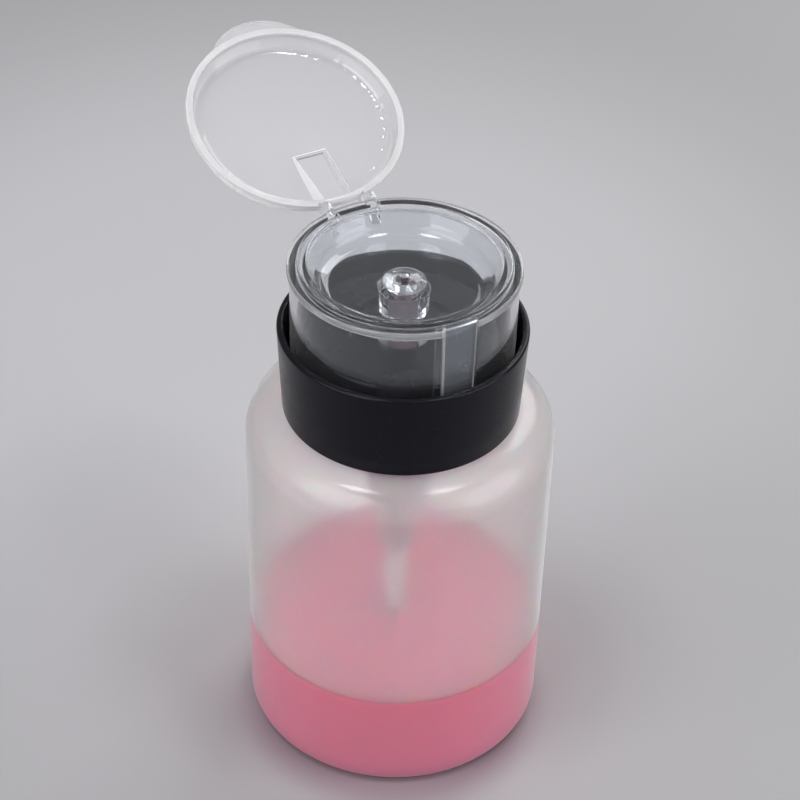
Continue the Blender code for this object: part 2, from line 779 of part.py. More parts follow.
def lug_outline():
    """A hinge lug seen from the side, in (y, z): a round eye on a gusset down the skirt."""
    root_y = skirt_r - SKIRT_WALL / 2 - OVERLAP * 2
    eye = arc(hinge_y, hinge_z, lug_r, LUG_LOW_ANGLE, 90, CORNER_STEPS * 2)
    return [(root_y, hinge_z - LUG_ROOT_DEPTH)] + eye + [(root_y, lip_top_z - OVERLAP)]


def make_press_head(finish):
    """The dish with its raised ring, lip, skirt, stem socket, thumb recess and hinge lugs."""
    skirt_in_r = skirt_r - SKIRT_WALL
    bend_r = (dish_floor_r + ring_in_r) / 2
    bend_rise = DISH_RISE * DISH_BEND_SHARE
    profile = [
        (DISH_HOLE_R, dish_floor_z),
        (dish_floor_r, dish_floor_z),
        (bend_r, dish_floor_z + bend_rise),
        (ring_in_r - SKIRT_WALL / 2, dish_floor_z + DISH_RISE * DISH_STEEP_SHARE),
        (ring_in_r, ring_top_z - LIP_EDGE),
        (ring_in_r + LIP_EDGE, ring_top_z),
        (ring_r - LIP_EDGE, ring_top_z),
        (ring_r, ring_top_z - LIP_EDGE),
        (ring_r, lip_top_z),
        (LIP_R - LIP_EDGE, lip_top_z),
        (LIP_R, lip_top_z - LIP_EDGE),
        (LIP_R, lip_z),
        (skirt_r, lip_z),
        (skirt_foot_r, skirt_foot_z),
        (skirt_foot_r - SKIRT_WALL, skirt_foot_z),
        (skirt_in_r, lip_z - OVERLAP),
        (ring_in_r + SKIRT_WALL, lip_z + OVERLAP),
        (ring_in_r + SKIRT_WALL / 2, lip_z - OVERLAP),
        (bend_r + SKIRT_WALL, dish_under_z + bend_rise),
        (dish_floor_r + SKIRT_WALL / 2, dish_under_z),
        (head_socket_r, dish_under_z),
        (head_socket_r, head_socket_z),
        (stem_sleeve_r, head_socket_z),
        (stem_sleeve_r, dish_under_z),
        (DISH_HOLE_R, dish_under_z),
    ]
    head = turned("press_head", profile, finish, WIDE_SEGMENTS)
    add_thumb_recess(head)
    add_hinge_lugs(head)
    return head


def add_thumb_recess(head):
    """A flat recess down the front of the lip and skirt, with a thicker wall behind it."""
    recess_y = skirt_r - RECESS_DEPTH
    backing_half = RECESS_TOP_WIDTH / 2 + RECESS_BACKING / 2
    backing = plate(
        "recess_backing",
        [
            (-backing_half, -recess_y - OVERLAP / 4),
            (backing_half, -recess_y - OVERLAP / 4),
            (backing_half, -recess_y + RECESS_BACKING),
            (-backing_half, -recess_y + RECESS_BACKING),
        ],
        skirt_foot_z,
        lip_z,
    )
    combine(head, backing, "UNION")
    bm = bmesh.new()
    front, back = -LIP_R - THROUGH, -recess_y
    low = [(-RECESS_FOOT_WIDTH / 2, front), (RECESS_FOOT_WIDTH / 2, front)]
    low += [(RECESS_FOOT_WIDTH / 2, back), (-RECESS_FOOT_WIDTH / 2, back)]
    widen = RECESS_TOP_WIDTH / RECESS_FOOT_WIDTH
    bottom = [bm.verts.new((x * MM, y * MM, (skirt_foot_z - THROUGH) * MM)) for x, y in low]
    top = [bm.verts.new((x * widen * MM, y * MM, (lip_top_z + THROUGH) * MM)) for x, y in low]
    bm.faces.new(bottom)
    bm.faces.new(top)
    for i in range(4):
        bm.faces.new((bottom[i], bottom[(i + 1) % 4], top[(i + 1) % 4], top[i]))
    combine(head, as_tool(add_object("thumb_recess", bm)), "DIFFERENCE")


def add_hinge_lugs(head):
    """Two lugs with eyes for the lid's stubs, and a gap in the raised ring for the lid's channel."""
    for name, low_x in (("left_lug", -lug_gap - LUG_THICKNESS), ("right_lug", lug_gap)):
        combine(head, prism(name, lug_outline(), low_x, low_x + LUG_THICKNESS), "UNION")
    reach = lug_gap + LUG_THICKNESS + THROUGH
    eyes = circle((hinge_y, hinge_z), eye_r, PIN_SEGMENTS)
    combine(head, prism("lug_eyes", eyes, -reach, reach), "DIFFERENCE")
    half = CHANNEL_WIDTH / 2 + CHANNEL_WALL + CHANNEL_SIDE_GAP
    low_y, high_y = dish_floor_r, ring_r + OVERLAP / 4
    outline = [(-half, low_y), (half, low_y), (half, high_y), (-half, high_y)]
    combine(head, plate("ring_gap", outline, lip_top_z, ring_top_z + THROUGH), "DIFFERENCE")


def make_nozzle(finish):
    """The insert in the middle of the dish, with the outlet hole."""
    spigot_r = outlet_room_r - FIT
    stop_z = outlet_ball_z + OUTLET_BALL_R + OUTLET_BALL_LIFT + BALL_SEAT_GAP
    flange_under_z = dish_floor_z + FIT
    edge_z = flange_under_z + NOZZLE_EDGE
    profile = [
        (NOZZLE_HOLE_R, stop_z),
        (spigot_r, stop_z),
        (spigot_r, flange_under_z),
        (NOZZLE_R, flange_under_z),
        (NOZZLE_R, edge_z),
    ]
    profile += [
        (r, edge_z + NOZZLE_DOME * (1 - (r / NOZZLE_R) ** 2))
        for r in np.linspace(NOZZLE_R, NOZZLE_HOLE_R, CORNER_STEPS + 1)[1:].tolist()
    ]
    return turned("dispensing_nozzle", profile, finish)


def turned_back(points, angle):
    """Points of (y, z) from the hinge axis in the open lid, as they lie in the closed lid."""
    c, s = math.cos(math.radians(angle)), math.sin(math.radians(angle))
    return [(y * c - z * s, y * s + z * c) for y, z in points]


def make_lid(finish):
    """The flip lid, drawn closed round its hinge axis and then turned open."""
    rim_z = lid_rim_z - hinge_z
    top_z = rim_z + LID_HEIGHT
    floor_z = top_z - LID_PLATE
    rim_top_z = rim_z + LID_RIM_HEIGHT
    profile = [
        (0.0, floor_z),
        (lid_floor_r, floor_z),
        (lid_floor_r + LID_WALL, floor_z - LID_WALL / 3),
        (lid_top_r - LID_WALL / 2, floor_z - LID_WALL),
        (lid_r - LID_WALL - LID_WALL / 3, rim_top_z + LID_WALL / 2),
        (lid_r - LID_RIM_WIDTH, rim_z),
        (lid_r, rim_z),
        (lid_r, rim_top_z - LIP_EDGE),
        (lid_r - LIP_EDGE, rim_top_z),
        (lid_r - LID_WALL / 2, rim_top_z + LIP_EDGE),
        (lid_top_r, top_z - LID_PLATE),
        (lid_top_r - LID_WALL / 3, top_z - LID_WALL / 3),
        (lid_top_r - LID_WALL, top_z),
        (0.0, top_z),
    ]
    lid = turned("lid", profile, finish, WIDE_SEGMENTS, -hinge_y)
    add_tab(lid, rim_z)
    add_channel(lid, rim_z, top_z, floor_z)
    add_knuckle(lid, rim_z)
    lid.location = Vector((0, hinge_y, hinge_z)) * MM
    lid.rotation_euler.x = -math.radians(OPEN_ANGLE)
    return lid


def add_tab(lid, rim_z):
    """The crescent thumb tab at the front of the rim, bounded by an arc through its two ends."""
    root_r = lid_r - LID_WALL / 2
    end_y = math.sqrt(root_r**2 - TAB_HALF_WIDTH**2)
    rise = lid_r + TAB_REACH - end_y
    arc_r = (TAB_HALF_WIDTH**2 + rise**2) / (2 * rise)
    centre_y = lid_r + TAB_REACH - arc_r
    half_angle = math.atan2(TAB_HALF_WIDTH, end_y - centre_y)
    outline = [
        (arc_r * math.sin(a), -hinge_y - centre_y - arc_r * math.cos(a))
        for a in np.linspace(-half_angle, half_angle, TAB_STEPS + 1)
    ]
    inner_angle = math.atan2(TAB_HALF_WIDTH, end_y)
    outline += [
        (root_r * math.sin(a), -hinge_y - root_r * math.cos(a))
        for a in np.linspace(inner_angle, -inner_angle, TAB_STEPS + 1)[1:-1]
    ]
    combine(lid, plate("thumb_tab", outline, rim_z, rim_z + TAB_THICKNESS), "UNION")


def add_channel(lid, rim_z, top_z, floor_z):
    """The sunken channel that runs down from the lid's plate to the hinge, between two walls."""
    outer_half = CHANNEL_WIDTH / 2 + CHANNEL_WALL
    inner_half = CHANNEL_WIDTH / 2
    shallow_y = -CHANNEL_START
    body = [
        (shallow_y, floor_z + OVERLAP),
        (shallow_y, floor_z - CHANNEL_SHALLOW),
        (lid_back_y - LID_WALL, rim_z + OVERLAP / 4),
        (lid_back_y + OVERLAP, rim_z + OVERLAP / 4),
        (lid_back_y + OVERLAP, floor_z - LID_WALL),
        (lid_back_y - LID_WALL, floor_z + OVERLAP),
    ]
    combine(lid, prism("channel_body", body, -outer_half, outer_half), "UNION")
    hollow = [
        (shallow_y + CHANNEL_WALL, top_z + THROUGH),
        (shallow_y + CHANNEL_WALL, floor_z - CHANNEL_SHALLOW + CHANNEL_FLOOR),
        (lid_back_y - LID_WALL, rim_z + CHANNEL_FLOOR + OVERLAP / 2),
        (0.0, rim_z + CHANNEL_FLOOR + OVERLAP / 2),
        (0.0, top_z + THROUGH),
    ]
    combine(lid, prism("channel_hollow", hollow, -inner_half, inner_half), "DIFFERENCE")


def add_knuckle(lid, rim_z):
    """The hinge arm: a link from the rim, a knuckle, two stubs, and a heel that stops under the lip."""
    half = KNUCKLE_WIDTH / 2
    root_y = lid_back_y + OVERLAP / 2
    link_y = -KNUCKLE_R + OVERLAP / 2
    link = [
        (root_y, rim_z + OVERLAP / 8),
        (link_y, rim_z + OVERLAP / 8),
        (link_y, 0.0),
        (KNUCKLE_R * 0.9, 0.0),
        (KNUCKLE_R * 0.9, KNUCKLE_R * 0.5),
        (-OVERLAP, rim_z + CHANNEL_FLOOR),
        (root_y, rim_z + CHANNEL_FLOOR),
    ]
    combine(lid, prism("hinge_link", link, -half, half), "UNION")
    knuckle = circle((0.0, 0.0), KNUCKLE_R, KNUCKLE_SEGMENTS)
    combine(lid, prism("knuckle", knuckle, -half + OVERLAP / 8, half - OVERLAP / 8), "UNION")
    lip_gap = HINGE_UP + FIT
    heel = [
        (0.0, -lip_gap),
        (-HEEL_LENGTH, -lip_gap),
        (-HEEL_LENGTH, -lip_gap - HEEL_THICKNESS),
        (0.0, -lip_gap - HEEL_THICKNESS),
    ]
    heel = turned_back(heel, OPEN_ANGLE)
    combine(lid, prism("heel", heel, -half + OVERLAP / 4, half - OVERLAP / 4), "UNION")
    stub_half = lug_gap + LUG_THICKNESS - OVERLAP / 4
    stubs = circle((0.0, 0.0), STUB_R, PIN_SEGMENTS)
    combine(lid, prism("hinge_stubs", stubs, -stub_half, stub_half), "UNION")


def axis_empty(name, position, parent=None):
    """An empty on a joint's axis."""
    empty = bpy.data.objects.new(name, None)
    bpy.context.scene.collection.objects.link(empty)
    empty.empty_display_size = AXIS_MARK * MM
    empty.location = Vector(position) * MM
    if parent:
        attach(empty, parent)
    return empty


def attach(piece, parent):
    """Parents a piece and leaves it where it is."""
    bpy.context.view_layer.update()
    piece.parent = parent
    piece.matrix_parent_inverse = parent.matrix_world.inverted()


def make_all():
    """Makes every piece and hangs the moving ones on their joints' axes."""
    frosted = material("frosted_plastic", (0.86, 0.84, 0.85), 0.45, alpha=0.5)
    pink = material("pink_remover", (0.86, 0.22, 0.32), 0.1, alpha=0.8)
    black = material("black_plastic", (0.012, 0.012, 0.016), 0.3)
    clear = material("clear_plastic", (0.85, 0.87, 0.88), 0.12, alpha=0.35)
    natural = material("natural_plastic", (0.82, 0.82, 0.80), 0.4, alpha=0.8)
    foam = material("white_foam", (0.88, 0.88, 0.86), 0.8)
    rubber = material("soft_rubber", (0.75, 0.75, 0.72), 0.6)
    steel = material("stainless_steel", (0.62, 0.63, 0.65), 0.2, metallic=1.0)

    make_bottle(frosted)
    make_liquid(pink)

    lift_axis = axis_empty("closure_lift_axis", (0, 0, shoulder_z))
    for piece in (
        make_pump_housing(natural),
        make_dip_tube(natural),
        make_gasket(foam),
        make_spring_seat(natural),
        make_stem_guide(black),
        make_stem_wiper(rubber),
        make_return_spring(steel),
    ):
        attach(piece, lift_axis)
    attach(ball("inlet_ball", INLET_BALL_R, inlet_ball_z, steel), lift_axis)

    turn_axis = axis_empty("closure_turn_axis", (0, 0, shoulder_z), lift_axis)
    attach(make_screw_closure(black), turn_axis)
    attach(make_collar(black), turn_axis)

    press_axis = axis_empty("head_press_axis", (0, 0, stem_z), lift_axis)
    for piece in (make_stem(natural), make_piston(rubber), make_piston_retainer(natural)):
        attach(piece, press_axis)
    attach(ball("outlet_ball", OUTLET_BALL_R, outlet_ball_z, steel), press_axis)

    head_axis = axis_empty("head_turn_axis", (0, 0, dish_under_z), press_axis)
    head = make_press_head(clear)
    attach(head, head_axis)
    attach(make_nozzle(clear), head_axis)
    attach(make_lid(clear), head_axis)


clear_scene()
make_all()
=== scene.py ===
"""A push-down pump bottle for nail polish remover: a frosted bottle part filled with pink remover, a black
collar, a clear dish head that is pressed to pump, and a clear flip lid that stands open.

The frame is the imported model's: metres, Z up along the bottle's axis, the lid's hinge at +Y and the thumb
recess at -Y. Sizes here are in millimetres and angles in degrees.
"""

import logging
import math
from dataclasses import dataclass, replace
from enum import Enum
from functools import cache
from typing import Callable, Iterable, Sequence

import bmesh
import bpy
import numpy as np
from mathutils import Matrix, Vector


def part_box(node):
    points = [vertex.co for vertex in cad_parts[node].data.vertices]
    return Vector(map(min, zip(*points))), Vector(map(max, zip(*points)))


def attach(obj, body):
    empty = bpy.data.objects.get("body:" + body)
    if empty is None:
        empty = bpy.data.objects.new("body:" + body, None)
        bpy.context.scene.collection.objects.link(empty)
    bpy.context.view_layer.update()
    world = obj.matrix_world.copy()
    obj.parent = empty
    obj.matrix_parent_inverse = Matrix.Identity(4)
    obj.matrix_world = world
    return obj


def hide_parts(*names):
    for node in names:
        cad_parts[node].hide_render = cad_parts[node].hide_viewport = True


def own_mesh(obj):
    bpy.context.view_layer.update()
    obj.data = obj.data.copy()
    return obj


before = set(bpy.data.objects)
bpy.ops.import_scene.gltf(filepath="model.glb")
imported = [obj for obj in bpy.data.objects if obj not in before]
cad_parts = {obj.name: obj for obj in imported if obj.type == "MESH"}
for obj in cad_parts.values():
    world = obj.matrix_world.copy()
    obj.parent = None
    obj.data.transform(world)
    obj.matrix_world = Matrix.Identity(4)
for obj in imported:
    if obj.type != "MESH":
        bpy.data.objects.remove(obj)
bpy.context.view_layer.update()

MM = 0.001
LOG = logging.getLogger("pump_bottle")

Piece = bpy.types.Object
Socket = bpy.types.NodeSocket
Source = Socket | float | tuple
Triple = tuple[float, float, float]
Pair = tuple[float, float]


class Body(Enum):
    """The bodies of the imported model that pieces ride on."""

    BOTTLE = "bottle"
    PUMP = "pump_unit"
    CLOSURE = "closure"
    PLUNGER = "plunger"
    HEAD = "head"
    LID = "lid"
    INLET_BALL = "inlet_ball"
    OUTLET_BALL = "outlet_ball"


class Cut(Enum):
    """How a tool changes the solid that it is applied to."""

    JOIN = "UNION"
    REMOVE = "DIFFERENCE"


class Along(Enum):
    """The axis that an outline is drawn out along: its number, and those of the outline's two values."""

    X = (0, 1, 2)
    Z = (2, 0, 1)


class Fineness(Enum):
    """How many facets a turned piece has round its axis."""

    WIDE = 240
    MIDDLE = 128
    NARROW = 64


Tools = list[tuple[Piece, Cut]]
Zones = list[tuple["Finish", np.ndarray]]

# Shapes

MOST_OF_SIDE = 0.45  # how much of a side one rounded corner may take
LEAD, LEAD_SHARE = 0.25, 0.04  # longest straight lead of an arc, and its share of the side
LEAST_ANGLE, LEAST_STEP = 1e-4, 1e-4  # smallest half angle of a corner, and shortest side of a profile
MERGE, MERGE_CUT = 2e-7, 2e-6  # metres within which points of a new and of a cut mesh are one
OVER = 1.0  # how far a tool that removes reaches past the solid


def rounded(corners: Sequence[Triple], closed: bool, steps: int) -> np.ndarray:
    """Rounds the corners of a profile.

    Each corner with radius q becomes the arc that touches its two sides: the rational quadratic curve from a
    to b whose middle point is the corner c, weighted by the sine of half the corner's angle. A short straight
    lead on both sides of each arc keeps the shading of the flats flat.

    Args:
        corners: (radius, height, corner radius) of each corner.
        closed: True if the last corner joins the first.
        steps: Number of steps in each arc.

    Returns:
        (radius, height) of each point of the rounded profile.
    """
    data = np.array(corners, float)
    c, q = data[:, :2], data[:, 2:3]
    u, v = np.roll(c, 1, axis=0) - c, np.roll(c, -1, axis=0) - c
    lu, lv = (np.linalg.norm(side, axis=1, keepdims=True) for side in (u, v))
    u, v, shorter = u / lu, v / lv, np.minimum(lu, lv)
    half = np.arccos(np.clip((u * v).sum(1, keepdims=True), -1, 1)) / 2
    reach = np.minimum(q / np.tan(np.maximum(half, LEAST_ANGLE)), MOST_OF_SIDE * shorter)
    if not closed:
        reach[[0, -1]] = 0
    lead = np.minimum(LEAD, LEAD_SHARE * shorter) * (reach > 0)
    a, b = c + u * reach, c + v * reach
    w = np.linspace(0, 1, steps + 1)[None, :, None]
    low, middle, high = (1 - w) ** 2, 2 * w * (1 - w) * np.sin(half)[:, None], w**2
    arcs = (low * a[:, None] + middle * c[:, None] + high * b[:, None]) / (low + middle + high)
    points = np.concatenate([(a + u * lead)[:, None], arcs, (b + v * lead)[:, None]], axis=1).reshape(-1, 2)
    apart = np.linalg.norm(points - np.roll(points, 1, axis=0), axis=1) > LEAST_STEP
    apart[0] = True
    return points[apart]


def grid_faces(rows: int, columns: int, wrap_rows: bool) -> np.ndarray:
    """Quads of a grid of points that are numbered row by row, and whose last column joins the first.

    Args:
        rows: Number of rows of points.
        columns: Number of points in a row.
        wrap_rows: True if the last row joins the first.

    Returns:
        Array of four point numbers per face.
    """
    i = np.arange(rows if wrap_rows else rows - 1)[:, None]
    j = np.arange(columns)[None, :]
    i2, j2 = (i + 1) % rows, (j + 1) % columns
    quads = np.stack([i * columns + j, i * columns + j2, i2 * columns + j2, i2 * columns + j], -1)
    return quads.reshape(-1, 4)


def add_object(name: str, data: bpy.types.ID) -> Piece:
    """Puts a mesh, lamp or camera into the scene as an object at the origin.

    Args:
        name: Name of the object.
        data: The mesh, lamp or camera.

    Returns:
        The object.
    """
    obj = bpy.data.objects.new(name, data)
    bpy.context.scene.collection.objects.link(obj)
    return obj


def shade(mesh: bpy.types.Mesh, sharp: float) -> None:
    """Shades a mesh smooth, but for the edges over the sharp angle."""
    mesh.shade_smooth()
    mesh.set_sharp_from_angle(angle=math.radians(sharp))


def solid(name: str, points: np.ndarray, faces: Iterable, sharp: float = 35.0) -> Piece:
    """Makes a closed mesh whose faces point outwards.

    Points that lie together, as at a pole, are merged. The enclosed volume is the sum over the triangles of
    a sixth of the triple product of their corners, and a negative one means that the faces are turned round.

    Args:
        name: Name of the object.
        points: Array of points.
        faces: Faces as sequences of point numbers.
        sharp: Angle above which an edge is shaded sharp.

    Returns:
        The new object.
    """
    mesh = bpy.data.meshes.new(name)
    mesh.from_pydata(points * MM, [], faces)
    bm = bmesh.new()
    bm.from_mesh(mesh)
    bmesh.ops.remove_doubles(bm, verts=bm.verts, dist=MERGE)
    bmesh.ops.recalc_face_normals(bm, faces=bm.faces)
    if bm.calc_volume(signed=True) < 0:
        bmesh.ops.reverse_faces(bm, faces=bm.faces)
    bm.to_mesh(mesh)
    bm.free()
    shade(mesh, sharp)
    return add_object(name, mesh)


def revolved(name: str, fineness: Fineness, profile: np.ndarray, ring: bool, centre_y: float = 0.0) -> Piece:
    """Carries a profile round Z: x = r cos t, y = centre + r sin t, z = h for every profile point (r, h) and
    every angle t.

    Args:
        name: Name of the object.
        fineness: Number of angles.
        profile: (radius, height) of each point.
        ring: True if the last point joins the first, False if both are on the axis.
        centre_y: Y of the axis.

    Returns:
        The solid.
    """
    t = np.linspace(0, math.tau, fineness.value, endpoint=False)[None, :]
    r, h = profile[:, :1], profile[:, 1:]
    points = np.stack([r * np.cos(t), centre_y + r * np.sin(t), h + 0 * t], -1).reshape(-1, 3)
    return solid(name, points, grid_faces(len(profile), fineness.value, ring).tolist())


def turned(name: str, fineness: Fineness, *walls: tuple, centre_y: float = 0.0, steps: int = 8) -> Piece:
    """Rounds a profile's corners and carries it round Z.

    Args:
        name: Name of the object.
        fineness: Number of facets round the axis.
        *walls: A radius, and the height and corner radius of each corner that follows at that radius. A
            profile that starts on the axis ends there too, and one that doesn't is closed.
        centre_y: Y of the axis.
        steps: Number of steps in each rounded corner.

    Returns:
        The turned solid.
    """
    corners = [(wall[0], *corner) for wall in walls for corner in zip(wall[1::2], wall[2::2])]
    ring = corners[0][0] > 0
    return revolved(name, fineness, rounded(corners, ring, steps), ring, centre_y)


def swept(name: str, path: np.ndarray, across: np.ndarray, up: np.ndarray, section: np.ndarray) -> Piece:
    """Carries a section along a path: point = path + across times the section's first value + up times its
    second. The two ends are closed.

    Args:
        name: Name of the object.
        path: Points of the path.
        across: Unit vector for the section's first value, or one for each path point.
        up: Unit vector for its second value, or one for each path point.
        section: Closed section as an array of pairs, or one such array for each path point.

    Returns:
        The swept solid.
    """
    across, up = (np.broadcast_to(way, path.shape)[:, None] for way in (across, up))
    section = np.broadcast_to(section, (len(path),) + section.shape[-2:])
    rings = path[:, None] + across * section[..., :1] + up * section[..., 1:]
    count = section.shape[1]
    last = (len(path) - 1) * count
    faces = grid_faces(len(path), count, False).tolist()
    faces += [list(range(count))[::-1], list(range(last, last + count))]
    return solid(name, rings.reshape(-1, 3), faces, sharp=40.0)


def prism(name: str, outline: Sequence[Pair], along: Along, low: float, high: float) -> Piece:
    """Draws an outline out along X or Z, as a section swept along that axis.

    Args:
        name: Name of the object.
        outline: (y, z) points along X, or (x, y) points along Z.
        along: The axis.
        low: Where the prism starts on that axis.
        high: Where it ends.

    Returns:
        The prism.
    """
    way, across, up = np.eye(3)[list(along.value)]
    return swept(name, np.outer([low, high], way), across, up, np.array(outline, float))


def arc(centre: Pair, radius: float, start: float, end: float, steps: int) -> list[Pair]:
    """Points on an arc: centre plus the radius times the cosine and sine of evenly spaced angles.

    Args:
        centre: Centre of the arc.
        radius: Its radius.
        start: First angle.
        end: Last angle.
        steps: Number of steps.

    Returns:
        The points.
    """
    t = np.radians(np.linspace(start, end, steps + 1))
    return list(zip(centre[0] + radius * np.cos(t), centre[1] + radius * np.sin(t)))


def circle(centre: Pair, radius: float, count: int = 48) -> list[Pair]:
    """Evenly spaced points round a circle."""
    return arc(centre, radius, 0, 360 - 360 / count, count - 1)


def rod(name: str, centre: Pair, radius: float, low: float, high: float) -> Piece:
    """A round rod along X, with (y, z) as its centre."""
    return prism(name, circle(centre, radius), Along.X, low, high)


def apply_tools(base: Piece, tools: Tools, sharp: float = 30.0) -> None:
    """Joins tools to a solid or removes them from it, and keeps the result as the solid's own mesh.

    Args:
        base: The solid.
        tools: Each tool and what it does. The tools are deleted.
        sharp: Angle above which an edge is shaded sharp.
    """
    for tool, cut in tools:
        modifier = base.modifiers.new(tool.name, "BOOLEAN")
        modifier.operation = cut.value
        modifier.solver = "EXACT"
        modifier.object = tool
    bpy.context.view_layer.update()
    mesh = bpy.data.meshes.new_from_object(base.evaluated_get(bpy.context.evaluated_depsgraph_get()))
    base.modifiers.clear()
    base.data = mesh
    for tool, _ in tools:
        bpy.data.objects.remove(tool, do_unlink=True)
    bm = bmesh.new()
    bm.from_mesh(mesh)
    bmesh.ops.remove_doubles(bm, verts=bm.verts, dist=MERGE_CUT)
    bmesh.ops.dissolve_degenerate(bm, edges=bm.edges, dist=MERGE_CUT / 2)
    bm.to_mesh(mesh)
    bm.free()
    shade(mesh, sharp)


def softened(tool: Piece, width: float = 0.2) -> Piece:
    """Gives a tool rounded edges of that width.

    Args:
        tool: The tool.
        width: Width of its rounded edges.

    Returns:
        The same tool.
    """
    bevel = tool.modifiers.new("edges", "BEVEL")
    bevel.width = width * MM
    bevel.segments = 2
    bevel.limit_method = "ANGLE"
    bevel.angle_limit = math.radians(40)
    return tool


def moved(piece: Piece, change: Callable[[np.ndarray], np.ndarray]) -> Piece:
    """Moves a piece's points to where the change puts them.

    Args:
        piece: The piece.
        change: Turns points into new ones.

    Returns:
        The same piece.
    """
    vertices = piece.data.vertices
    flat = np.empty(3 * len(vertices))
    vertices.foreach_get("co", flat)
    vertices.foreach_set("co", (change(flat.reshape(-1, 3) / MM) * MM).ravel())
    piece.data.update()
    return piece


def helix(radius: float, turns: np.ndarray, heights: np.ndarray) -> tuple[np.ndarray, np.ndarray]:
    """A right-handed helix: x = r cos t, y = r sin t, z = height, with t the turns times a full circle.

    Args:
        radius: Radius of the helix.
        turns: Turns at each point.
        heights: Height at each point.

    Returns:
        The points, and the unit vectors that point away from the axis.
    """
    t = math.tau * turns
    outward = np.stack([np.cos(t), np.sin(t), 0 * t], -1)
    return outward * radius + np.stack([0 * t, 0 * t, heights], -1), outward


def place(piece: Piece, body: Body, finish: "Finish", *nodes: str) -> Piece:
    """Dresses a piece and hangs it on its body.

    Args:
        piece: The piece.
        body: The body that it moves with.
        finish: Its finish.
        *nodes: The CAD nodes that it stands for.

    Returns:
        The piece.
    """
    piece.data.materials.clear()
    piece.data.materials.append(finish.material())
    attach(piece, body.value)
    if nodes:
        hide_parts(*nodes)
    LOG.info("%s: %d faces, rides on %s", piece.name, len(piece.data.polygons), body.value)
    return piece


def trim(piece: Piece, zones: Callable[[np.ndarray, np.ndarray], Zones]) -> None:
    """Gives zones of a dressed piece other finishes. Where two zones overlap, the later one holds.

    Args:
        piece: The piece.
        zones: Gives each zone's finish, and True for each face in it, from the faces' middles and normals.
    """
    mesh = piece.data
    count = len(mesh.polygons)
    middles, normals, index = np.empty(3 * count), np.empty(3 * count), np.zeros(count, np.int32)
    mesh.polygons.foreach_get("center", middles)
    mesh.polygons.foreach_get("normal", normals)
    for finish, picked in zones(middles.reshape(-1, 3) / MM, normals.reshape(-1, 3)):
        index[picked] = len(mesh.materials)
        mesh.materials.append(finish.material())
        LOG.info("%s: %d faces in %s", piece.name, int(picked.sum()), finish.name)
    mesh.polygons.foreach_set("material_index", index)


# Finishes


class Nodes:
    """Adds nodes to one tree and links them."""

    def __init__(self, tree: bpy.types.NodeTree) -> None:
        """Keeps the tree."""
        self.tree = tree

    def add(self, kind: str, inputs: dict, **settings: object) -> bpy.types.Node:
        """Adds a node.

        Args:
            kind: The node's type, without the leading ShaderNode.
            inputs: Socket name or number to a value or to the socket that feeds it.
            **settings: Properties of the node.

        Returns:
            The node.
        """
        node = self.tree.nodes.new("ShaderNode" + kind)
        for key, value in settings.items():
            setattr(node, key, value)
        for key, value in inputs.items():
            self.put(node.inputs[key], value)
        return node

    def put(self, socket: Socket, value: Source) -> None:
        """Sets a socket to a value, or links it to the socket that feeds it.

        Args:
            socket: The socket.
            value: Its value, or the socket that feeds it.
        """
        if isinstance(value, Socket):
            self.tree.links.new(value, socket)
        else:
            socket.default_value = value

    def maths(self, operation: str, first: Source, second: Source, clamp: bool = False) -> Socket:
        """The result of a Math node on two values or sockets."""
        return self.add("Math", {0: first, 1: second}, operation=operation, use_clamp=clamp).outputs[0]

    def noise(self, vector: Socket, scale: Source, detail: float) -> Socket:
        """The value of a Noise texture, about 0.5 on average."""
        return self.add("TexNoise", {"Vector": vector, "Scale": scale, "Detail": detail}).outputs[0]

    def between(self, value: Source, low: float, high: float) -> Socket:
        """0 below low, 1 above high and smooth between."""
        limits = {"Value": value, "From Min": low, "From Max": high}
        return self.add("MapRange", limits, interpolation_type="SMOOTHSTEP").outputs[0]

    def blend(self, factor: Source, first: Source, second: Source) -> Socket:
        """A colour between two colours."""
        return self.add("Mix", {0: factor, 6: first, 7: second}, data_type="RGBA").outputs[2]

    def beyond(self, vector: Socket, spot: Pair, inner: float, outer: float) -> Socket:
        """0 within inner of a spot on the floor, 1 beyond outer and smooth between.

        Args:
            vector: Object coordinates.
            spot: (x, y) of the spot.
            inner: Radius that still gives 0.
            outer: Radius from which it is 1.

        Returns:
            The value.
        """
        middle = (spot[0] * MM, spot[1] * MM, 0.0)
        apart = self.add("VectorMath", {0: vector, 1: middle}, operation="DISTANCE").outputs["Value"]
        return self.between(apart, inner * MM, outer * MM)


def node_group(name: str, inputs: str, outputs: str) -> tuple:
    """Starts a shader node group.

    Args:
        name: Name of the group.
        inputs: Names of its input sockets, with commas between. A name says what the socket takes: a
            Vector, a colour (Color, Dust color) or else a number.
        outputs: The same for the outputs.

    Returns:
        The group's tree, its node maker, its input sockets and its output sockets.
    """
    tree = bpy.data.node_groups.new(name, "ShaderNodeTree")
    for direction, sockets in (("INPUT", inputs), ("OUTPUT", outputs)):
        for socket in sockets.split(", "):
            kind = {"vector": "Vector", "color": "Color"}.get(socket.split()[-1].lower(), "Float")
            tree.interface.new_socket(socket, in_out=direction, socket_type=f"NodeSocket{kind}")
    start, end = tree.nodes.new("NodeGroupInput"), tree.nodes.new("NodeGroupOutput")
    return tree, Nodes(tree), start.outputs, end.inputs


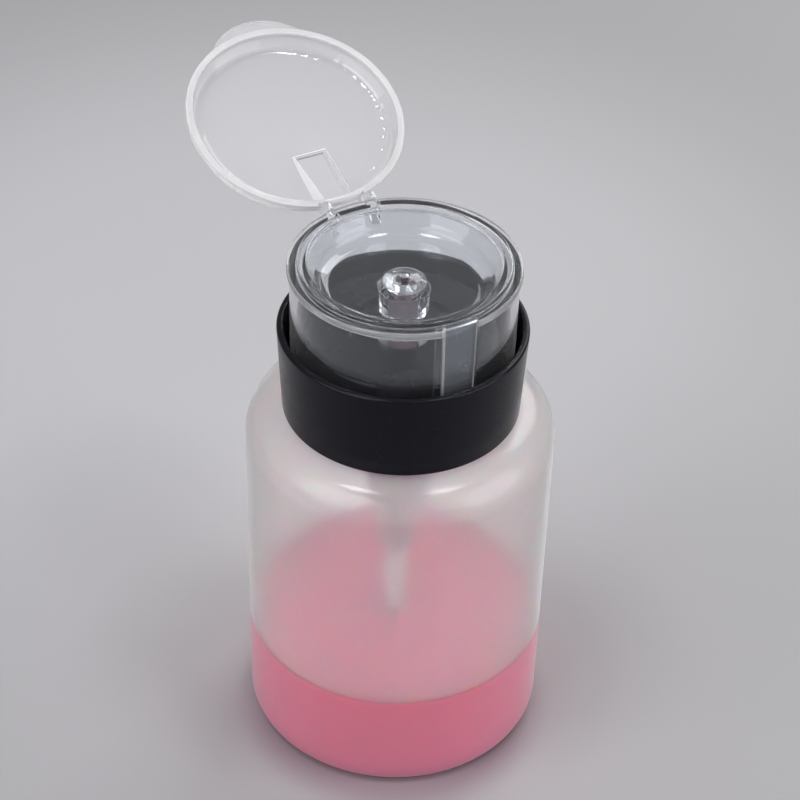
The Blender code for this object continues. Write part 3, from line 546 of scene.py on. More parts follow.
@cache
def grain_group() -> bpy.types.NodeTree:
    """Moulded surface: fine grain and slow waves. Roughness is the base plus the spread times the mixed
    noise's distance from its middle, and height is the mixed noise, mostly waves.

    Returns:
        The group, made once.
    """
    tree, make, start, end = node_group(
        "Moulded grain", "Vector, Grain scale, Wave scale, Base, Spread", "Roughness, Height"
    )
    grain = make.noise(start["Vector"], start["Grain scale"], 3.0)
    waves = make.noise(start["Vector"], start["Wave scale"], 2.0)
    mixed = make.maths("ADD", make.maths("MULTIPLY", grain, 0.35), make.maths("MULTIPLY", waves, 0.65))
    offset = make.maths("MULTIPLY", make.maths("SUBTRACT", mixed, 0.5), start["Spread"])
    make.put(end["Roughness"], make.maths("ADD", offset, start["Base"], clamp=True))
    make.put(end["Height"], mixed)
    return tree


@cache
def handling_group() -> bpy.types.NodeTree:
    """Handling marks: smudges, where a slow noise passes a threshold, and hair scratches, where a noise that
    is stretched along one direction does. Both raise the roughness.

    Returns:
        The group, made once.
    """
    tree, make, start, end = node_group("Handling marks", "Vector, Roughness, Amount", "Roughness")
    smudge = make.between(make.noise(start["Vector"], 90.0, 5.0), 0.52, 0.75)
    stretch = {"Vector": start["Vector"], "Rotation": (0.5, 0.3, 0.8), "Scale": (60.0, 2500.0, 2500.0)}
    scratch = make.between(make.noise(make.add("Mapping", stretch).outputs[0], 1.0, 2.0), 0.66, 0.74)
    mask = make.maths("MAXIMUM", smudge, make.maths("MULTIPLY", scratch, 0.6))
    added = make.maths("MULTIPLY", mask, start["Amount"])
    make.put(end["Roughness"], make.maths("ADD", start["Roughness"], added, clamp=True))
    return tree


@cache
def mottle_group() -> bpy.types.NodeTree:
    """Uneven colour: the colour is darkened or lightened by the amount times a slow noise's distance from its
    middle.

    Returns:
        The group, made once.
    """
    tree, make, start, end = node_group("Mottle", "Vector, Color, Scale, Amount", "Color")
    value = make.noise(start["Vector"], start["Scale"], 4.0)
    gain = make.maths("ADD", make.maths("MULTIPLY", make.maths("SUBTRACT", value, 0.5), start["Amount"]), 1.0)
    shaded = make.add("VectorMath", {0: start["Color"], "Scale": gain}, operation="SCALE")
    make.put(end["Color"], shaded.outputs[0])
    return tree


@cache
def dust_group() -> bpy.types.NodeTree:
    """Dust: small specks where a fine noise passes a threshold, stronger on faces that look up. The speck's
    mask blends the colour towards the dust's colour.

    Returns:
        The group, made once.
    """
    tree, make, start, end = node_group("Dust", "Vector, Color, Dust color, Amount", "Color")
    specks = make.between(make.noise(start["Vector"], 1400.0, 1.0), 0.70, 0.78)
    normal = make.add("NewGeometry", {}).outputs["Normal"]
    upward = make.between(make.add("SeparateXYZ", {0: normal}).outputs[2], -0.2, 1.0)
    share = make.maths("ADD", make.maths("MULTIPLY", upward, 0.8), 0.2)
    mask = make.maths("MULTIPLY", make.maths("MULTIPLY", specks, share), start["Amount"], clamp=True)
    make.put(end["Color"], make.blend(mask, start["Color"], start["Dust color"]))
    return tree


@dataclass(frozen=True)
class Finish:
    """A moulded, drawn or liquid surface, and the record's slot that it stands for. Scales are in features
    per metre."""

    name: str
    slot: str
    colour: Triple
    roughness: float
    spread: float = 0.1
    grain_scale: float = 1800.0
    wave_scale: float = 60.0
    bump_depth: float = 0.02
    bump_strength: float = 0.2
    mottle: float = 0.1
    mottle_scale: float = 45.0
    marks: float = 0.1
    dust: float = 0.0
    dust_colour: Triple = (0.75, 0.75, 0.78)
    metallic: float = 0.0
    transmission: float = 0.0
    ior: float = 1.5
    subsurface: float = 0.0
    subsurface_mm: float = 2.0
    coat: float = 0.0
    coat_roughness: float = 0.05
    specular: float = 0.5
    tint: Triple = (1.0, 1.0, 1.0)
    sheen: float = 0.0
    sheen_roughness: float = 0.4

    @cache
    def material(self) -> bpy.types.Material:
        """Makes the finish's material once: colour, roughness and normal come from the shared groups on
        Object coordinates, and plain values are set on the shader.

        Returns:
            The material.
        """
        made = bpy.data.materials.new(self.name)
        made.use_nodes = True
        made.diffuse_color = (*self.colour, 1.0)
        make = Nodes(made.node_tree)
        vector = make.add("TexCoord", {}).outputs["Object"]
        grain = make.add("Group", {
            "Vector": vector, "Grain scale": self.grain_scale, "Wave scale": self.wave_scale,
            "Base": self.roughness, "Spread": self.spread,
        }, node_tree=grain_group()).outputs
        marks = make.add("Group", {
            "Vector": vector, "Roughness": grain["Roughness"], "Amount": self.marks,
        }, node_tree=handling_group()).outputs
        tone = make.add("Group", {
            "Vector": vector, "Color": (*self.colour, 1.0), "Scale": self.mottle_scale, "Amount": self.mottle,
        }, node_tree=mottle_group()).outputs
        dusty = make.add("Group", {
            "Vector": vector, "Color": tone["Color"], "Dust color": (*self.dust_colour, 1.0),
            "Amount": self.dust,
        }, node_tree=dust_group()).outputs
        colour, roughness = self.vary(make, vector, dusty["Color"], marks["Roughness"])
        depth = self.bump_depth * MM
        strength = self.bump_strength
        bump = make.add("Bump", {"Height": grain["Height"], "Strength": strength, "Distance": depth})
        shader = made.node_tree.nodes["Principled BSDF"]
        for socket, value in {
            "Base Color": colour, "Roughness": roughness, "Normal": bump.outputs[0],
            "Metallic": self.metallic, "Transmission Weight": self.transmission, "IOR": self.ior,
            "Subsurface Weight": self.subsurface, "Subsurface Scale": self.subsurface_mm * MM,
            "Coat Weight": self.coat, "Coat Roughness": self.coat_roughness,
            "Specular IOR Level": self.specular, "Specular Tint": (*self.tint, 1.0),
            "Sheen Weight": self.sheen, "Sheen Roughness": self.sheen_roughness,
        }.items():
            make.put(shader.inputs[socket], value)
        return made

    def vary(self, make: Nodes, vector: Socket, colour: Socket, roughness: Socket) -> tuple[Socket, Socket]:
        """Leaves colour and roughness as they are. A finish that changes with the place does more."""
        return colour, roughness


@dataclass(frozen=True)
class WettedWall(Finish):
    """A frosted wall that turns clearer and takes the liquid's colour where the liquid wets it."""

    wet_colour: Triple = (1.0, 0.63, 0.75)
    wet_roughness: float = 0.38
    wet_level: float = 25.3
    wet_blend: float = 0.35

    def vary(self, make: Nodes, vector: Socket, colour: Socket, roughness: Socket) -> tuple[Socket, Socket]:
        """Blends colour and roughness to the wetted ones with a mask that is 1 below the level and 0 a little
        above it.

        Args:
            make: Maker of the material's nodes.
            vector: Object coordinates.
            colour: The dry colour.
            roughness: The dry roughness.

        Returns:
            The colour and the roughness.
        """
        height = make.add("SeparateXYZ", {0: vector}).outputs[2]
        low, high = (self.wet_level - self.wet_blend) * MM, (self.wet_level + self.wet_blend) * MM
        wet = make.maths("SUBTRACT", 1.0, make.between(height, low, high))
        change = make.maths("MULTIPLY", wet, self.wet_roughness - self.roughness)
        wetted = make.blend(wet, colour, (*self.wet_colour, 1.0))
        return wetted, make.maths("ADD", roughness, change, clamp=True)


@dataclass(frozen=True)
class PaintedLightFloor(Finish):
    """A floor with a painted pool of light round one place, and a pink painted shadow round the bottle's
    foot.
    """

    # Painted pool of light round the middle: the full colour within inner, the outside share of it beyond
    # outer.
    middle: Pair = (32.0, 146.0)
    inner: float = 75.0
    outer: float = 215.0
    outside_pool_share: float = 0.74
    # Painted shadow round the bottle's foot, with painted pink light from the liquid in it.
    pink_shadow: Triple = (0.76, 0.62, 0.69)
    pink_shadow_middle: Pair = (-2.9, -5.2)
    pink_shadow_inner: float = 28.0
    pink_shadow_outer: float = 38.0

    def vary(self, make: Nodes, vector: Socket, colour: Socket, roughness: Socket) -> tuple[Socket, Socket]:
        """Paints the pool of light, darker with the distance from its middle, and the pink shadow round its
        middle.

        Args:
            make: Maker of the material's nodes.
            vector: Object coordinates.
            colour: The floor's own colour.
            roughness: Its roughness.

        Returns:
            The colour and the roughness.
        """
        # Painted pool of light: darker with the distance from its middle.
        beyond_pool = make.beyond(vector, self.middle, self.inner, self.outer)
        outside_pool_colour = tuple(self.outside_pool_share * value for value in self.colour)
        pool_lit = make.blend(beyond_pool, colour, (*outside_pool_colour, 1.0))
        # Painted pink shadow round the foot.
        away = make.beyond(vector, self.pink_shadow_middle, self.pink_shadow_inner, self.pink_shadow_outer)
        tint = make.blend(away, (*self.pink_shadow, 1.0), (1.0, 1.0, 1.0, 1.0))
        return make.add("VectorMath", {0: pool_lit, 1: tint}, operation="MULTIPLY").outputs[0], roughness


BLOWN = dict(
    spread=0.08, grain_scale=2600.0, wave_scale=40.0, bump_depth=0.05, bump_strength=0.12, marks=0.06,
    ior=1.15, subsurface=1.0, subsurface_mm=3.0, sheen_roughness=0.3,
)
MOULDED = dict(
    spread=0.04, wave_scale=55.0, bump_depth=0.03, bump_strength=0.10, mottle=0.02, marks=0.12,
    sheen_roughness=0.3,
)
FROSTED = WettedWall(
    "Frosted blown plastic", "frosted_plastic", (0.985, 0.978, 0.980), 0.30, mottle=0.03, transmission=0.84,
    coat=0.5, coat_roughness=0.12, sheen=1.0, **BLOWN,
)
WETTED = Finish(
    "Wetted blown plastic", "frosted_plastic", (1.0, 0.29, 0.415), 0.36, mottle=0.04, transmission=0.35,
    coat=0.4, coat_roughness=0.14, sheen=0.35, **BLOWN,
)
REMOVER = Finish(
    "Pink remover", "pink_remover", (0.99, 0.225, 0.375), 0.08, spread=0.01, bump_strength=0.0, mottle=0.04,
    mottle_scale=30.0, marks=0.0, subsurface=1.0, subsurface_mm=12.0,
)
BLACK = Finish(
    "Black gloss plastic", "black_plastic", (0.004, 0.004, 0.008), 0.22, spread=0.12, wave_scale=35.0,
    bump_depth=0.03, bump_strength=0.08, marks=0.12, dust=0.06, specular=0.17,
)
CLEAR = Finish(
    "Clear moulded plastic", "clear_plastic", (0.95, 0.972, 1.0), 0.05, transmission=0.988, ior=1.36,
    coat=0.4, coat_roughness=0.06, specular=0.4, tint=(0.86, 0.93, 1.0), sheen=0.3, **MOULDED,
)
RECESS = replace(
    CLEAR, name="Hazy recess plastic", colour=(0.84, 0.90, 1.0), roughness=0.2, transmission=0.89
)
CLEAR_THIN = Finish(
    "Clear lid plastic", "clear_plastic", (0.975, 0.98, 0.99), 0.06, transmission=0.90, ior=1.18, coat=0.3,
    coat_roughness=0.04, sheen=0.5, **MOULDED,
)
WAVY = replace(CLEAR_THIN, name="Wavy corner plastic", ior=1.3, specular=1.0, coat=1.0, coat_roughness=0.03)
# Milky plastic; on the head's recess walls and the band beside them it paints a highlight.
MILKY_AND_HIGHLIGHT = Finish(
    "Milky rim plastic", "clear_plastic", (0.94, 0.945, 0.955), 0.25, spread=0.06, wave_scale=90.0,
    bump_depth=0.03, bump_strength=0.15, mottle=0.04, marks=0.0, transmission=0.67, ior=1.18, coat=0.3,
    coat_roughness=0.08,
)
HAZY = replace(MILKY_AND_HIGHLIGHT, name="Hazy lip plastic", transmission=0.76)
CLOUDY = replace(MILKY_AND_HIGHLIGHT, name="Cloudy wall plastic", colour=(0.97, 0.975, 0.985), transmission=0.56)
FAINT = replace(MILKY_AND_HIGHLIGHT, name="Faint tab plastic", bump_strength=0.0, transmission=0.82, coat=0.0)
# Painted light: a pale, nearly opaque copy of the clear plastic on the channel's walls, for light carried
# along them.
PAINTED_EDGE_LIGHT = Finish(
    "Pale edge plastic", "clear_plastic", (0.98, 0.985, 1.0), 0.45, wave_scale=90.0, mottle=0.04, marks=0.0,
    transmission=0.25, ior=1.1, coat=0.6, coat_roughness=0.2, sheen=1.0,
)
# Painted light and shade: the natural plastic is dimmed and tinted pink, as if lit by the liquid inside the
# bottle.
NATURAL_PINK_LIT = Finish(
    "Natural plastic", "natural_plastic", (0.82, 0.65, 0.73), 0.38, mottle=0.06, marks=0.08,
    transmission=0.68, ior=1.2,
)
TUBE = replace(NATURAL_PINK_LIT, name="Pale tube plastic", colour=(0.98, 0.97, 0.975), transmission=0.3)
SEAL = Finish("Soft seal", "soft_rubber", (0.70, 0.70, 0.67), 0.6, spread=0.15)
FOAM = Finish(
    "White foam", "white_foam", (0.84, 0.84, 0.82), 0.85, grain_scale=4200.0, bump_depth=0.12,
    bump_strength=0.6, mottle=0.12,
)
STEEL = Finish(
    "Bright steel", "stainless_steel", (0.62, 0.63, 0.65), 0.18, spread=0.12, wave_scale=300.0, mottle=0.08,
    metallic=1.0,
)


# Sub-assemblies


@dataclass(frozen=True)
class Levels:
    """Heights and radii where the sub-assemblies meet."""

    fit: float = 0.3
    shoulder: float = 83.2
    neck_top: float = 97.0
    neck_r: float = 16.6
    neck_bore_r: float = 15.1
    flange: float = 98.6
    flange_top: float = 100.2
    guide_ledge: float = 94.3
    chamber_r: float = 5.8
    chamber_floor: float = 57.5
    stem_foot: float = 86.0
    stem_r: float = 3.0
    hinge_y: float = 25.8
    hinge_z: float = 117.25


LEVELS = Levels()


@dataclass(frozen=True)
class Thread:
    """The neck's screw thread and the cap's, which runs half a pitch under it."""

    pitch: float = 4.0
    turns: float = 1.5
    start: float = 4.3
    root: float = 0.3
    crest: float = 1.3
    root_half: float = 0.9
    crest_half: float = 0.45
    run_out: float = 0.08
    end_width: float = 0.35
    points: int = 160

    def ridge(self, name: str, wall_r: float, outward: int, lift: float = 0.0) -> Piece:
        """A trapezium on a right-handed helix, which narrows at both ends.

        Args:
            name: Name of the object.
            wall_r: Radius of the wall that carries it.
            outward: 1 for a thread outside the wall, -1 for one inside it.
            lift: Height over the neck's own thread.

        Returns:
            The ridge.
        """
        turns = np.linspace(0, self.turns, self.points)
        start = LEVELS.shoulder + self.start + lift
        path, away = helix(wall_r - outward * self.root, turns, start + self.pitch * turns)
        width = np.clip(np.minimum(turns, self.turns - turns) / self.run_out, self.end_width, 1)
        depth = outward * (self.crest + self.root)
        section = np.array([(0, -self.root_half), (depth, -self.crest_half), (depth, self.crest_half),
                            (0, self.root_half)])
        sections = section[None] * np.stack([width, np.ones_like(width)], -1)[:, None, :]
        return swept(name, path, away, np.array([0.0, 0.0, 1.0]), sections)


@dataclass(frozen=True)
class BottleBody:
    """The blown bottle with its neck, and the remover in it."""

    radius: float = 33.0
    wall: float = 1.2
    base: float = 1.8
    base_corner: float = 3.0
    pad_r: float = 13.0
    groove: float = 0.8
    groove_slope: float = 1.2
    foot_in: float = 26.0
    shoulder_r: float = 9.0
    neck_edge: float = 0.4
    liquid_top: float = 25.2
    liquid_gap: float = 0.12
    meniscus: float = 0.6
    tube_room: float = 2.7
    tube_end: float = 4.7
    under_slope: float = -0.9

    def shell(self) -> Piece:
        """The bottle: base with a ring foot, straight wall, round shoulder and open neck.

        Returns:
            The bottle.
        """
        top, wall, inside = LEVELS.shoulder, self.wall, self.radius - self.wall
        return turned(
            "bottle_shell", Fineness.WIDE,
            (0.0, 0.0, 0.0), (self.pad_r, 0.0, 0.8), (self.pad_r + self.groove_slope, self.groove, 0.8),
            (self.foot_in - self.groove_slope, self.groove, 0.8), (self.foot_in, 0.0, 0.8),
            (self.radius, 0.0, self.base_corner, self.liquid_top + 0.1, 0.0, top, self.shoulder_r),
            (LEVELS.neck_r, top, 0.8, LEVELS.neck_top, self.neck_edge),
            (LEVELS.neck_bore_r, LEVELS.neck_top, self.neck_edge, top - wall, 1.2),
            (inside, top - wall, self.shoulder_r - wall, self.base, self.base_corner - wall / 2),
            (0.0, self.base, 0.0),
            steps=14,
        )

    def zones(self, middles: np.ndarray, normals: np.ndarray) -> Zones:
        """Picks the outside below the liquid's level, with the corner at the foot down to where its slope
        turns to the floor.

        Args:
            middles: Middles of the bottle's faces.
            normals: Their normals.

        Returns:
            The wetted finish and its faces.
        """
        x, y, z = middles.T
        outward = x * normals[:, 0] + y * normals[:, 1] > 0
        near = (np.hypot(x, y) > self.radius - self.base_corner) & (z < self.liquid_top)
        return [(WETTED, outward & near & (normals[:, 2] > self.under_slope))]

    def liquid(self) -> Piece:
        """The remover: the bottle's inside up to the level, with a rim that climbs the wall a little and
        room for the dip tube.

        Returns:
            The liquid.
        """
        low, out = self.base + self.liquid_gap, self.radius - self.wall - self.liquid_gap
        level = self.liquid_top - self.meniscus * 0.5
        return turned(
            "remover", Fineness.WIDE,
            (0.0, low, 0.0), (out, low, self.base_corner - self.wall / 2, self.liquid_top, 0.05),
            (out - self.meniscus, level, self.meniscus),
            (self.tube_room + self.meniscus, level, self.meniscus),
            (self.tube_room, self.liquid_top - self.meniscus * 0.2, 0.05, self.tube_end, 0.3),
            (0.0, self.tube_end, 0.0),
            steps=10,
        )

    def build(self) -> None:
        """Makes and places the bottle, its thread and the remover."""
        trim(place(self.shell(), Body.BOTTLE, FROSTED, "bottle"), self.zones)
        place(Thread().ridge("neck_thread", LEVELS.neck_r, 1), Body.BOTTLE, FROSTED)
        place(self.liquid(), Body.BOTTLE, REMOVER, "remover_liquid")


@dataclass(frozen=True)
class Closure:
    """The threaded inner cap and the plain collar round it."""

    bore_r: float = 18.4
    radius: float = 20.0
    foot_r: float = 21.2
    foot: float = 83.5
    foot_top: float = 84.8
    deck_under: float = 100.5
    deck_top: float = 102.5
    hole_r: float = 11.0
    collar_foot: float = 83.7
    collar_top: float = 103.7
    collar_r: float = 26.15
    collar_foot_r: float = 25.15
    collar_in_r: float = 24.65
    collar_web_r: float = 23.75
    collar_foot_in_r: float = 23.95
    web: float = 85.1
    web_top: float = 86.6

    def cap(self) -> Piece:
        """The inner cap: a foot, a wall and a deck with the pump's hole.

        Returns:
            The cap.
        """
        return turned(
            "inner_cap", Fineness.WIDE,
            (self.bore_r, self.foot, 0.2), (self.foot_r, self.foot, 0.3, self.foot_top, 0.3),
            (self.radius, self.foot_top, 0.4, self.deck_top, 0.7),
            (self.hole_r, self.deck_top, 0.3, self.deck_under, 0.2), (self.bore_r, self.deck_under, 0.5),
        )

    def shroud(self) -> Piece:
        """The collar: a drafted wall with a round top edge, on a web inside.

        Returns:
            The shroud.
        """
        return turned(
            "collar_shroud", Fineness.WIDE,
            (self.collar_foot_in_r, self.collar_foot, 0.25), (self.collar_foot_r, self.collar_foot, 0.45),
            (self.collar_r, self.collar_top, 0.55), (self.collar_in_r, self.collar_top, 0.55),
            (self.collar_web_r, self.web_top, 0.4),
            (self.radius + LEVELS.fit, self.web_top, 0.2, self.web, 0.2),
            (self.collar_foot_in_r, self.web, 0.4),
        )

    def build(self) -> None:
        """Makes and places the cap, its thread and the collar."""
        place(self.cap(), Body.CLOSURE, BLACK, "screw_closure")
        thread = Thread()
        place(thread.ridge("cap_thread", self.bore_r, -1, -thread.pitch / 2), Body.CLOSURE, BLACK)
        place(self.shroud(), Body.CLOSURE, BLACK, "collar")


@dataclass(frozen=True)
class PumpUnit:
    """The pump cylinder with its tube, seals, spring and inlet valve."""

    flange_r: float = 17.2
    guide_bore_r: float = 7.2
    wall: float = 1.2
    taper_end: float = 48.7
    taper_end_r: float = 4.2
    seat: float = 48.3
    seat_top: float = 49.9
    ball_room_r: float = 2.78
    inlet_r: float = 1.5
    inlet: float = 47.3
    socket_r: float = 2.7
    socket_out_r: float = 3.7
    socket_end: float = 43.2
    tube_r: float = 2.4
    tube_bore_r: float = 1.6
    tube_end: float = 5.0
    tube_top: float = 47.0
    gasket: float = 97.3
    gasket_top: float = 98.3
    gasket_r: float = 16.9
    gasket_in_r: float = 12.9
    disc: float = 57.8
    disc_top: float = 59.0
    disc_r: float = 5.5
    disc_holes: int = 4
    disc_hole_r: float = 0.5
    disc_turn: float = 7.5
    pilot_r: float = 3.35
    pilot_top: float = 60.2
    stop_r: float = 1.1
    guide: float = 94.6
    guide_out_r: float = 6.9
    guide_flange_r: float = 10.7
    guide_top: float = 101.6
    cup_r: float = 5.6
    cup: float = 97.5
    wiper: float = 97.8
    wiper_top: float = 98.6
    spring_r: float = 4.4
    wire_r: float = 0.45
    wire_points: int = 433
    wire_sides: int = 12
    spring_turns: float = 9.0
    end_pitch: float = 1.45
    spring_low: float = 59.75
    spring_high: float = 83.75
    travel: float = 8.0

    def housing(self) -> Piece:
        """The cylinder: flange, guide bore, chamber, taper, valve seat and tube socket.

        Returns:
            The housing.
        """
        chamber_out, guide_out = LEVELS.chamber_r + self.wall, self.guide_bore_r + self.wall
        return turned(
            "pump_cylinder", Fineness.MIDDLE,
            (self.guide_bore_r, LEVELS.flange_top, 0.2, LEVELS.guide_ledge, 0.1),
            (LEVELS.chamber_r, LEVELS.guide_ledge, 0.3, LEVELS.chamber_floor, 0.3),
            (self.ball_room_r, LEVELS.chamber_floor, 0.1, self.seat_top, 0.1),
            (self.inlet_r, self.seat, 0.1, self.inlet, 0.1),
            (self.socket_r, self.inlet, 0.1, self.socket_end, 0.3),
            (self.socket_out_r, self.socket_end, 0.2, self.seat, 0.3),
            (self.taper_end_r, self.taper_end, 0.5),
            (chamber_out, LEVELS.chamber_floor + 0.4, 2.0, LEVELS.guide_ledge - 2.7, 1.0),
            (guide_out, LEVELS.guide_ledge - 1.2, 0.8, LEVELS.flange, 0.6),
            (self.flange_r, LEVELS.flange, 0.2, LEVELS.flange_top, 0.2),
        )

    def ring(self, name: str, fineness: Fineness, radii: Pair, heights: Pair) -> Piece:
        """A plain ring or tube with fine round edges."""
        (inner, outer), (low, high) = radii, heights
        return turned(name, fineness, (inner, low, 0.1), (outer, low, 0.1, high, 0.1), (inner, high, 0.1))

    def disc_seat(self) -> Piece:
        """The perforated disc under the spring, with a pin that stops the inlet ball.

        Returns:
            The seat.
        """
        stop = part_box("spring_seat")[0][2] / MM
        seat = turned(
            "spring_disc", Fineness.NARROW,
            (0.0, stop, 0.0), (self.stop_r, stop, 0.2, self.disc, 0.1),
            (self.disc_r, self.disc, 0.1, self.disc_top, 0.1),
            (self.pilot_r, self.disc_top, 0.1, self.pilot_top, 0.3), (0.0, self.pilot_top, 0.0),
        )
        middle = (self.stop_r + self.ball_room_r) / 2
        low, high = self.disc - OVER, self.pilot_top + OVER
        holes = []
        for index in range(self.disc_holes):
            t = math.tau * index / self.disc_holes + math.radians(self.disc_turn)
            outline = circle((middle * math.cos(t), middle * math.sin(t)), self.disc_hole_r, 24)
            holes.append((prism(f"hole_{index}", outline, Along.Z, low, high), Cut.REMOVE))
        apply_tools(seat, holes)
        return seat

    def stem_guide(self) -> Piece:
        """The cap of the cylinder, with a cup for the wiper.

        Returns:
            The guide.
        """
        hole, flange = LEVELS.stem_r + LEVELS.fit, LEVELS.flange_top + LEVELS.fit
        return turned(
            "cylinder_cap", Fineness.MIDDLE,
            (hole, self.guide, 0.2), (self.guide_out_r, self.guide, 0.3, flange, 0.2),
            (self.guide_flange_r, flange, 0.1, self.guide_top, 0.25),
            (self.cup_r, self.guide_top, 0.25, self.cup, 0.2), (hole, self.cup, 0.1),
        )

    def wiper_ring(self) -> Piece:
        """The ring that wipes the stem.

        Returns:
            The washer.
        """
        inner, outer = LEVELS.stem_r + LEVELS.fit, self.cup_r - LEVELS.fit
        return turned(
            "wiper_ring", Fineness.NARROW,
            (inner, self.wiper, 0.15), (outer, self.wiper, 0.1, self.wiper_top, 0.1),
            (inner, self.wiper_top, 0.35),
        )

    def coil(self) -> Piece:
        """The return spring: a round wire on a helix whose first and last turn lie closer. The wire's section
        is drawn across the path by the outward direction and by the one square to it and to the path.

        Returns:
            The spring.
        """
        turns = np.linspace(0, self.spring_turns, self.wire_points)
        rise = self.spring_high - self.spring_low
        knots = [0, 1, self.spring_turns - 1, self.spring_turns]
        heights = self.spring_low + np.interp(turns, knots, [0, self.end_pitch, rise - self.end_pitch, rise])
        path, outward = helix(self.spring_r, turns, heights)
        along = np.gradient(path, axis=0)
        along /= np.linalg.norm(along, axis=1, keepdims=True)
        t = np.linspace(0, math.tau, self.wire_sides, endpoint=False)
        section = self.wire_r * np.stack([np.cos(t), np.sin(t)], -1)
        return swept("coil_spring", path, outward, np.cross(outward, along), section)

    def build(self) -> None:
        """Makes and places the pump's pieces."""
        place(self.housing(), Body.PUMP, NATURAL_PINK_LIT, "pump_housing")
        radii, heights = (self.tube_bore_r, self.tube_r), (self.tube_end, self.tube_top)
        place(self.ring("suction_tube", Fineness.NARROW, radii, heights), Body.PUMP, TUBE, "dip_tube")
        radii, heights = (self.gasket_in_r, self.gasket_r), (self.gasket, self.gasket_top)
        place(self.ring("foam_gasket", Fineness.MIDDLE, radii, heights), Body.PUMP, FOAM, "neck_gasket")
        place(self.disc_seat(), Body.PUMP, NATURAL_PINK_LIT, "spring_seat")
        place(self.stem_guide(), Body.PUMP, BLACK, "stem_guide")
        place(self.wiper_ring(), Body.PUMP, SEAL, "stem_wiper")
        spring = place(self.coil(), Body.PUMP, STEEL, "return_spring")
        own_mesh(spring)
        place(valve_ball("inlet_valve_ball", "inlet_ball"), Body.INLET_BALL, STEEL, "inlet_ball")


def valve_ball(name: str, node: str) -> Piece:
    """A valve ball in its node's place: a half circle (r cos t, c + r sin t), with radius r and centre c,
    carried round the axis.

    Args:
        name: Name of the object.
        node: The CAD node that gives the ball's place and size.

    Returns:
        The ball.
    """
    low, high = (corner[2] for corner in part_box(node))
    radius, centre = (high - low) / 2 / MM, (high + low) / 2 / MM
    t = np.linspace(-math.pi / 2, math.pi / 2, 33)
    profile = np.stack([radius * np.cos(t), centre + radius * np.sin(t)], -1)
    return revolved(name, Fineness.NARROW, profile, False)


@dataclass(frozen=True)
class Plunger:
    """The hollow stem with its piston and outlet valve."""

    bore_r: float = 1.8
    shoulder: float = 93.1
    shoulder_top: float = 94.3
    shoulder_r: float = 5.2
    top: float = 112.2
    room_r: float = 1.99
    seat: float = 105.3
    seat_top: float = 106.5
    seat_r: float = 1.1
    seat_land: float = 0.8
    piston_top: float = 92.8
    lip_r: float = 5.5
    lip: float = 1.3
    waist_r: float = 4.6
    retainer: float = 84.5
    retainer_top: float = 85.7
    retainer_r: float = 5.0
    pilot_r: float = 3.35
    pilot: float = 83.1
    plug_top: float = 88.7
    hole_r: float = 0.8

    def stem(self) -> Piece:
        """The stem: a bore, a shoulder and a valve room at the top.

        Returns:
            The stem.
        """
        foot, r = LEVELS.stem_foot, LEVELS.stem_r
        return turned(
            "hollow_stem", Fineness.NARROW,
            (self.bore_r, foot, 0.1), (r, foot, 0.2, self.shoulder, 0.2),
            (self.shoulder_r, self.shoulder, 0.2, self.shoulder_top, 0.2),
            (r, self.shoulder_top, 0.3, self.top, 0.3), (self.room_r, self.top, 0.2, self.seat_top, 0.1),
            (self.seat_r, self.seat, 0.1, self.seat - self.seat_land, 0.1),
            (self.bore_r, self.seat - self.seat_land, 0.1),
        )

    def piston(self) -> Piece:
        """The piston: two lips and a narrow waist.

        Returns:
            The piston.
        """
        inner, lip = LEVELS.stem_r + LEVELS.fit, self.lip
        low, high = LEVELS.stem_foot, self.piston_top
        return turned(
            "piston_seal", Fineness.NARROW,
            (inner, low, 0.2), (self.lip_r - lip / 2, low, 0.3), (self.lip_r, low + lip / 2, 0.3),
            (self.waist_r, low + 2 * lip, 1.0, high - 2 * lip, 1.0), (self.lip_r, high - lip / 2, 0.3),
            (self.lip_r - lip / 2, high, 0.3), (inner, high, 0.2),
        )

    def plug(self) -> Piece:
        """The retainer under the piston, with its plug in the stem.

        Returns:
            The plug.
        """
        plug_r = self.bore_r - LEVELS.fit
        return turned(
            "piston_plug", Fineness.NARROW,
            (self.hole_r, self.pilot, 0.1), (self.pilot_r, self.pilot, 0.4, self.retainer, 0.2),
            (self.retainer_r, self.retainer, 0.15, self.retainer_top, 0.15),
            (plug_r, self.retainer_top, 0.1, self.plug_top, 0.2), (self.hole_r, self.plug_top, 0.1),
        )

    def build(self) -> None:
        """Makes and places the plunger's pieces."""
        place(self.stem(), Body.PLUNGER, NATURAL_PINK_LIT, "stem")
        place(self.piston(), Body.PLUNGER, SEAL, "piston")
        place(self.plug(), Body.PLUNGER, NATURAL_PINK_LIT, "piston_retainer")
        place(valve_ball("outlet_valve_ball", "outlet_ball"), Body.OUTLET_BALL, STEEL, "outlet_ball")


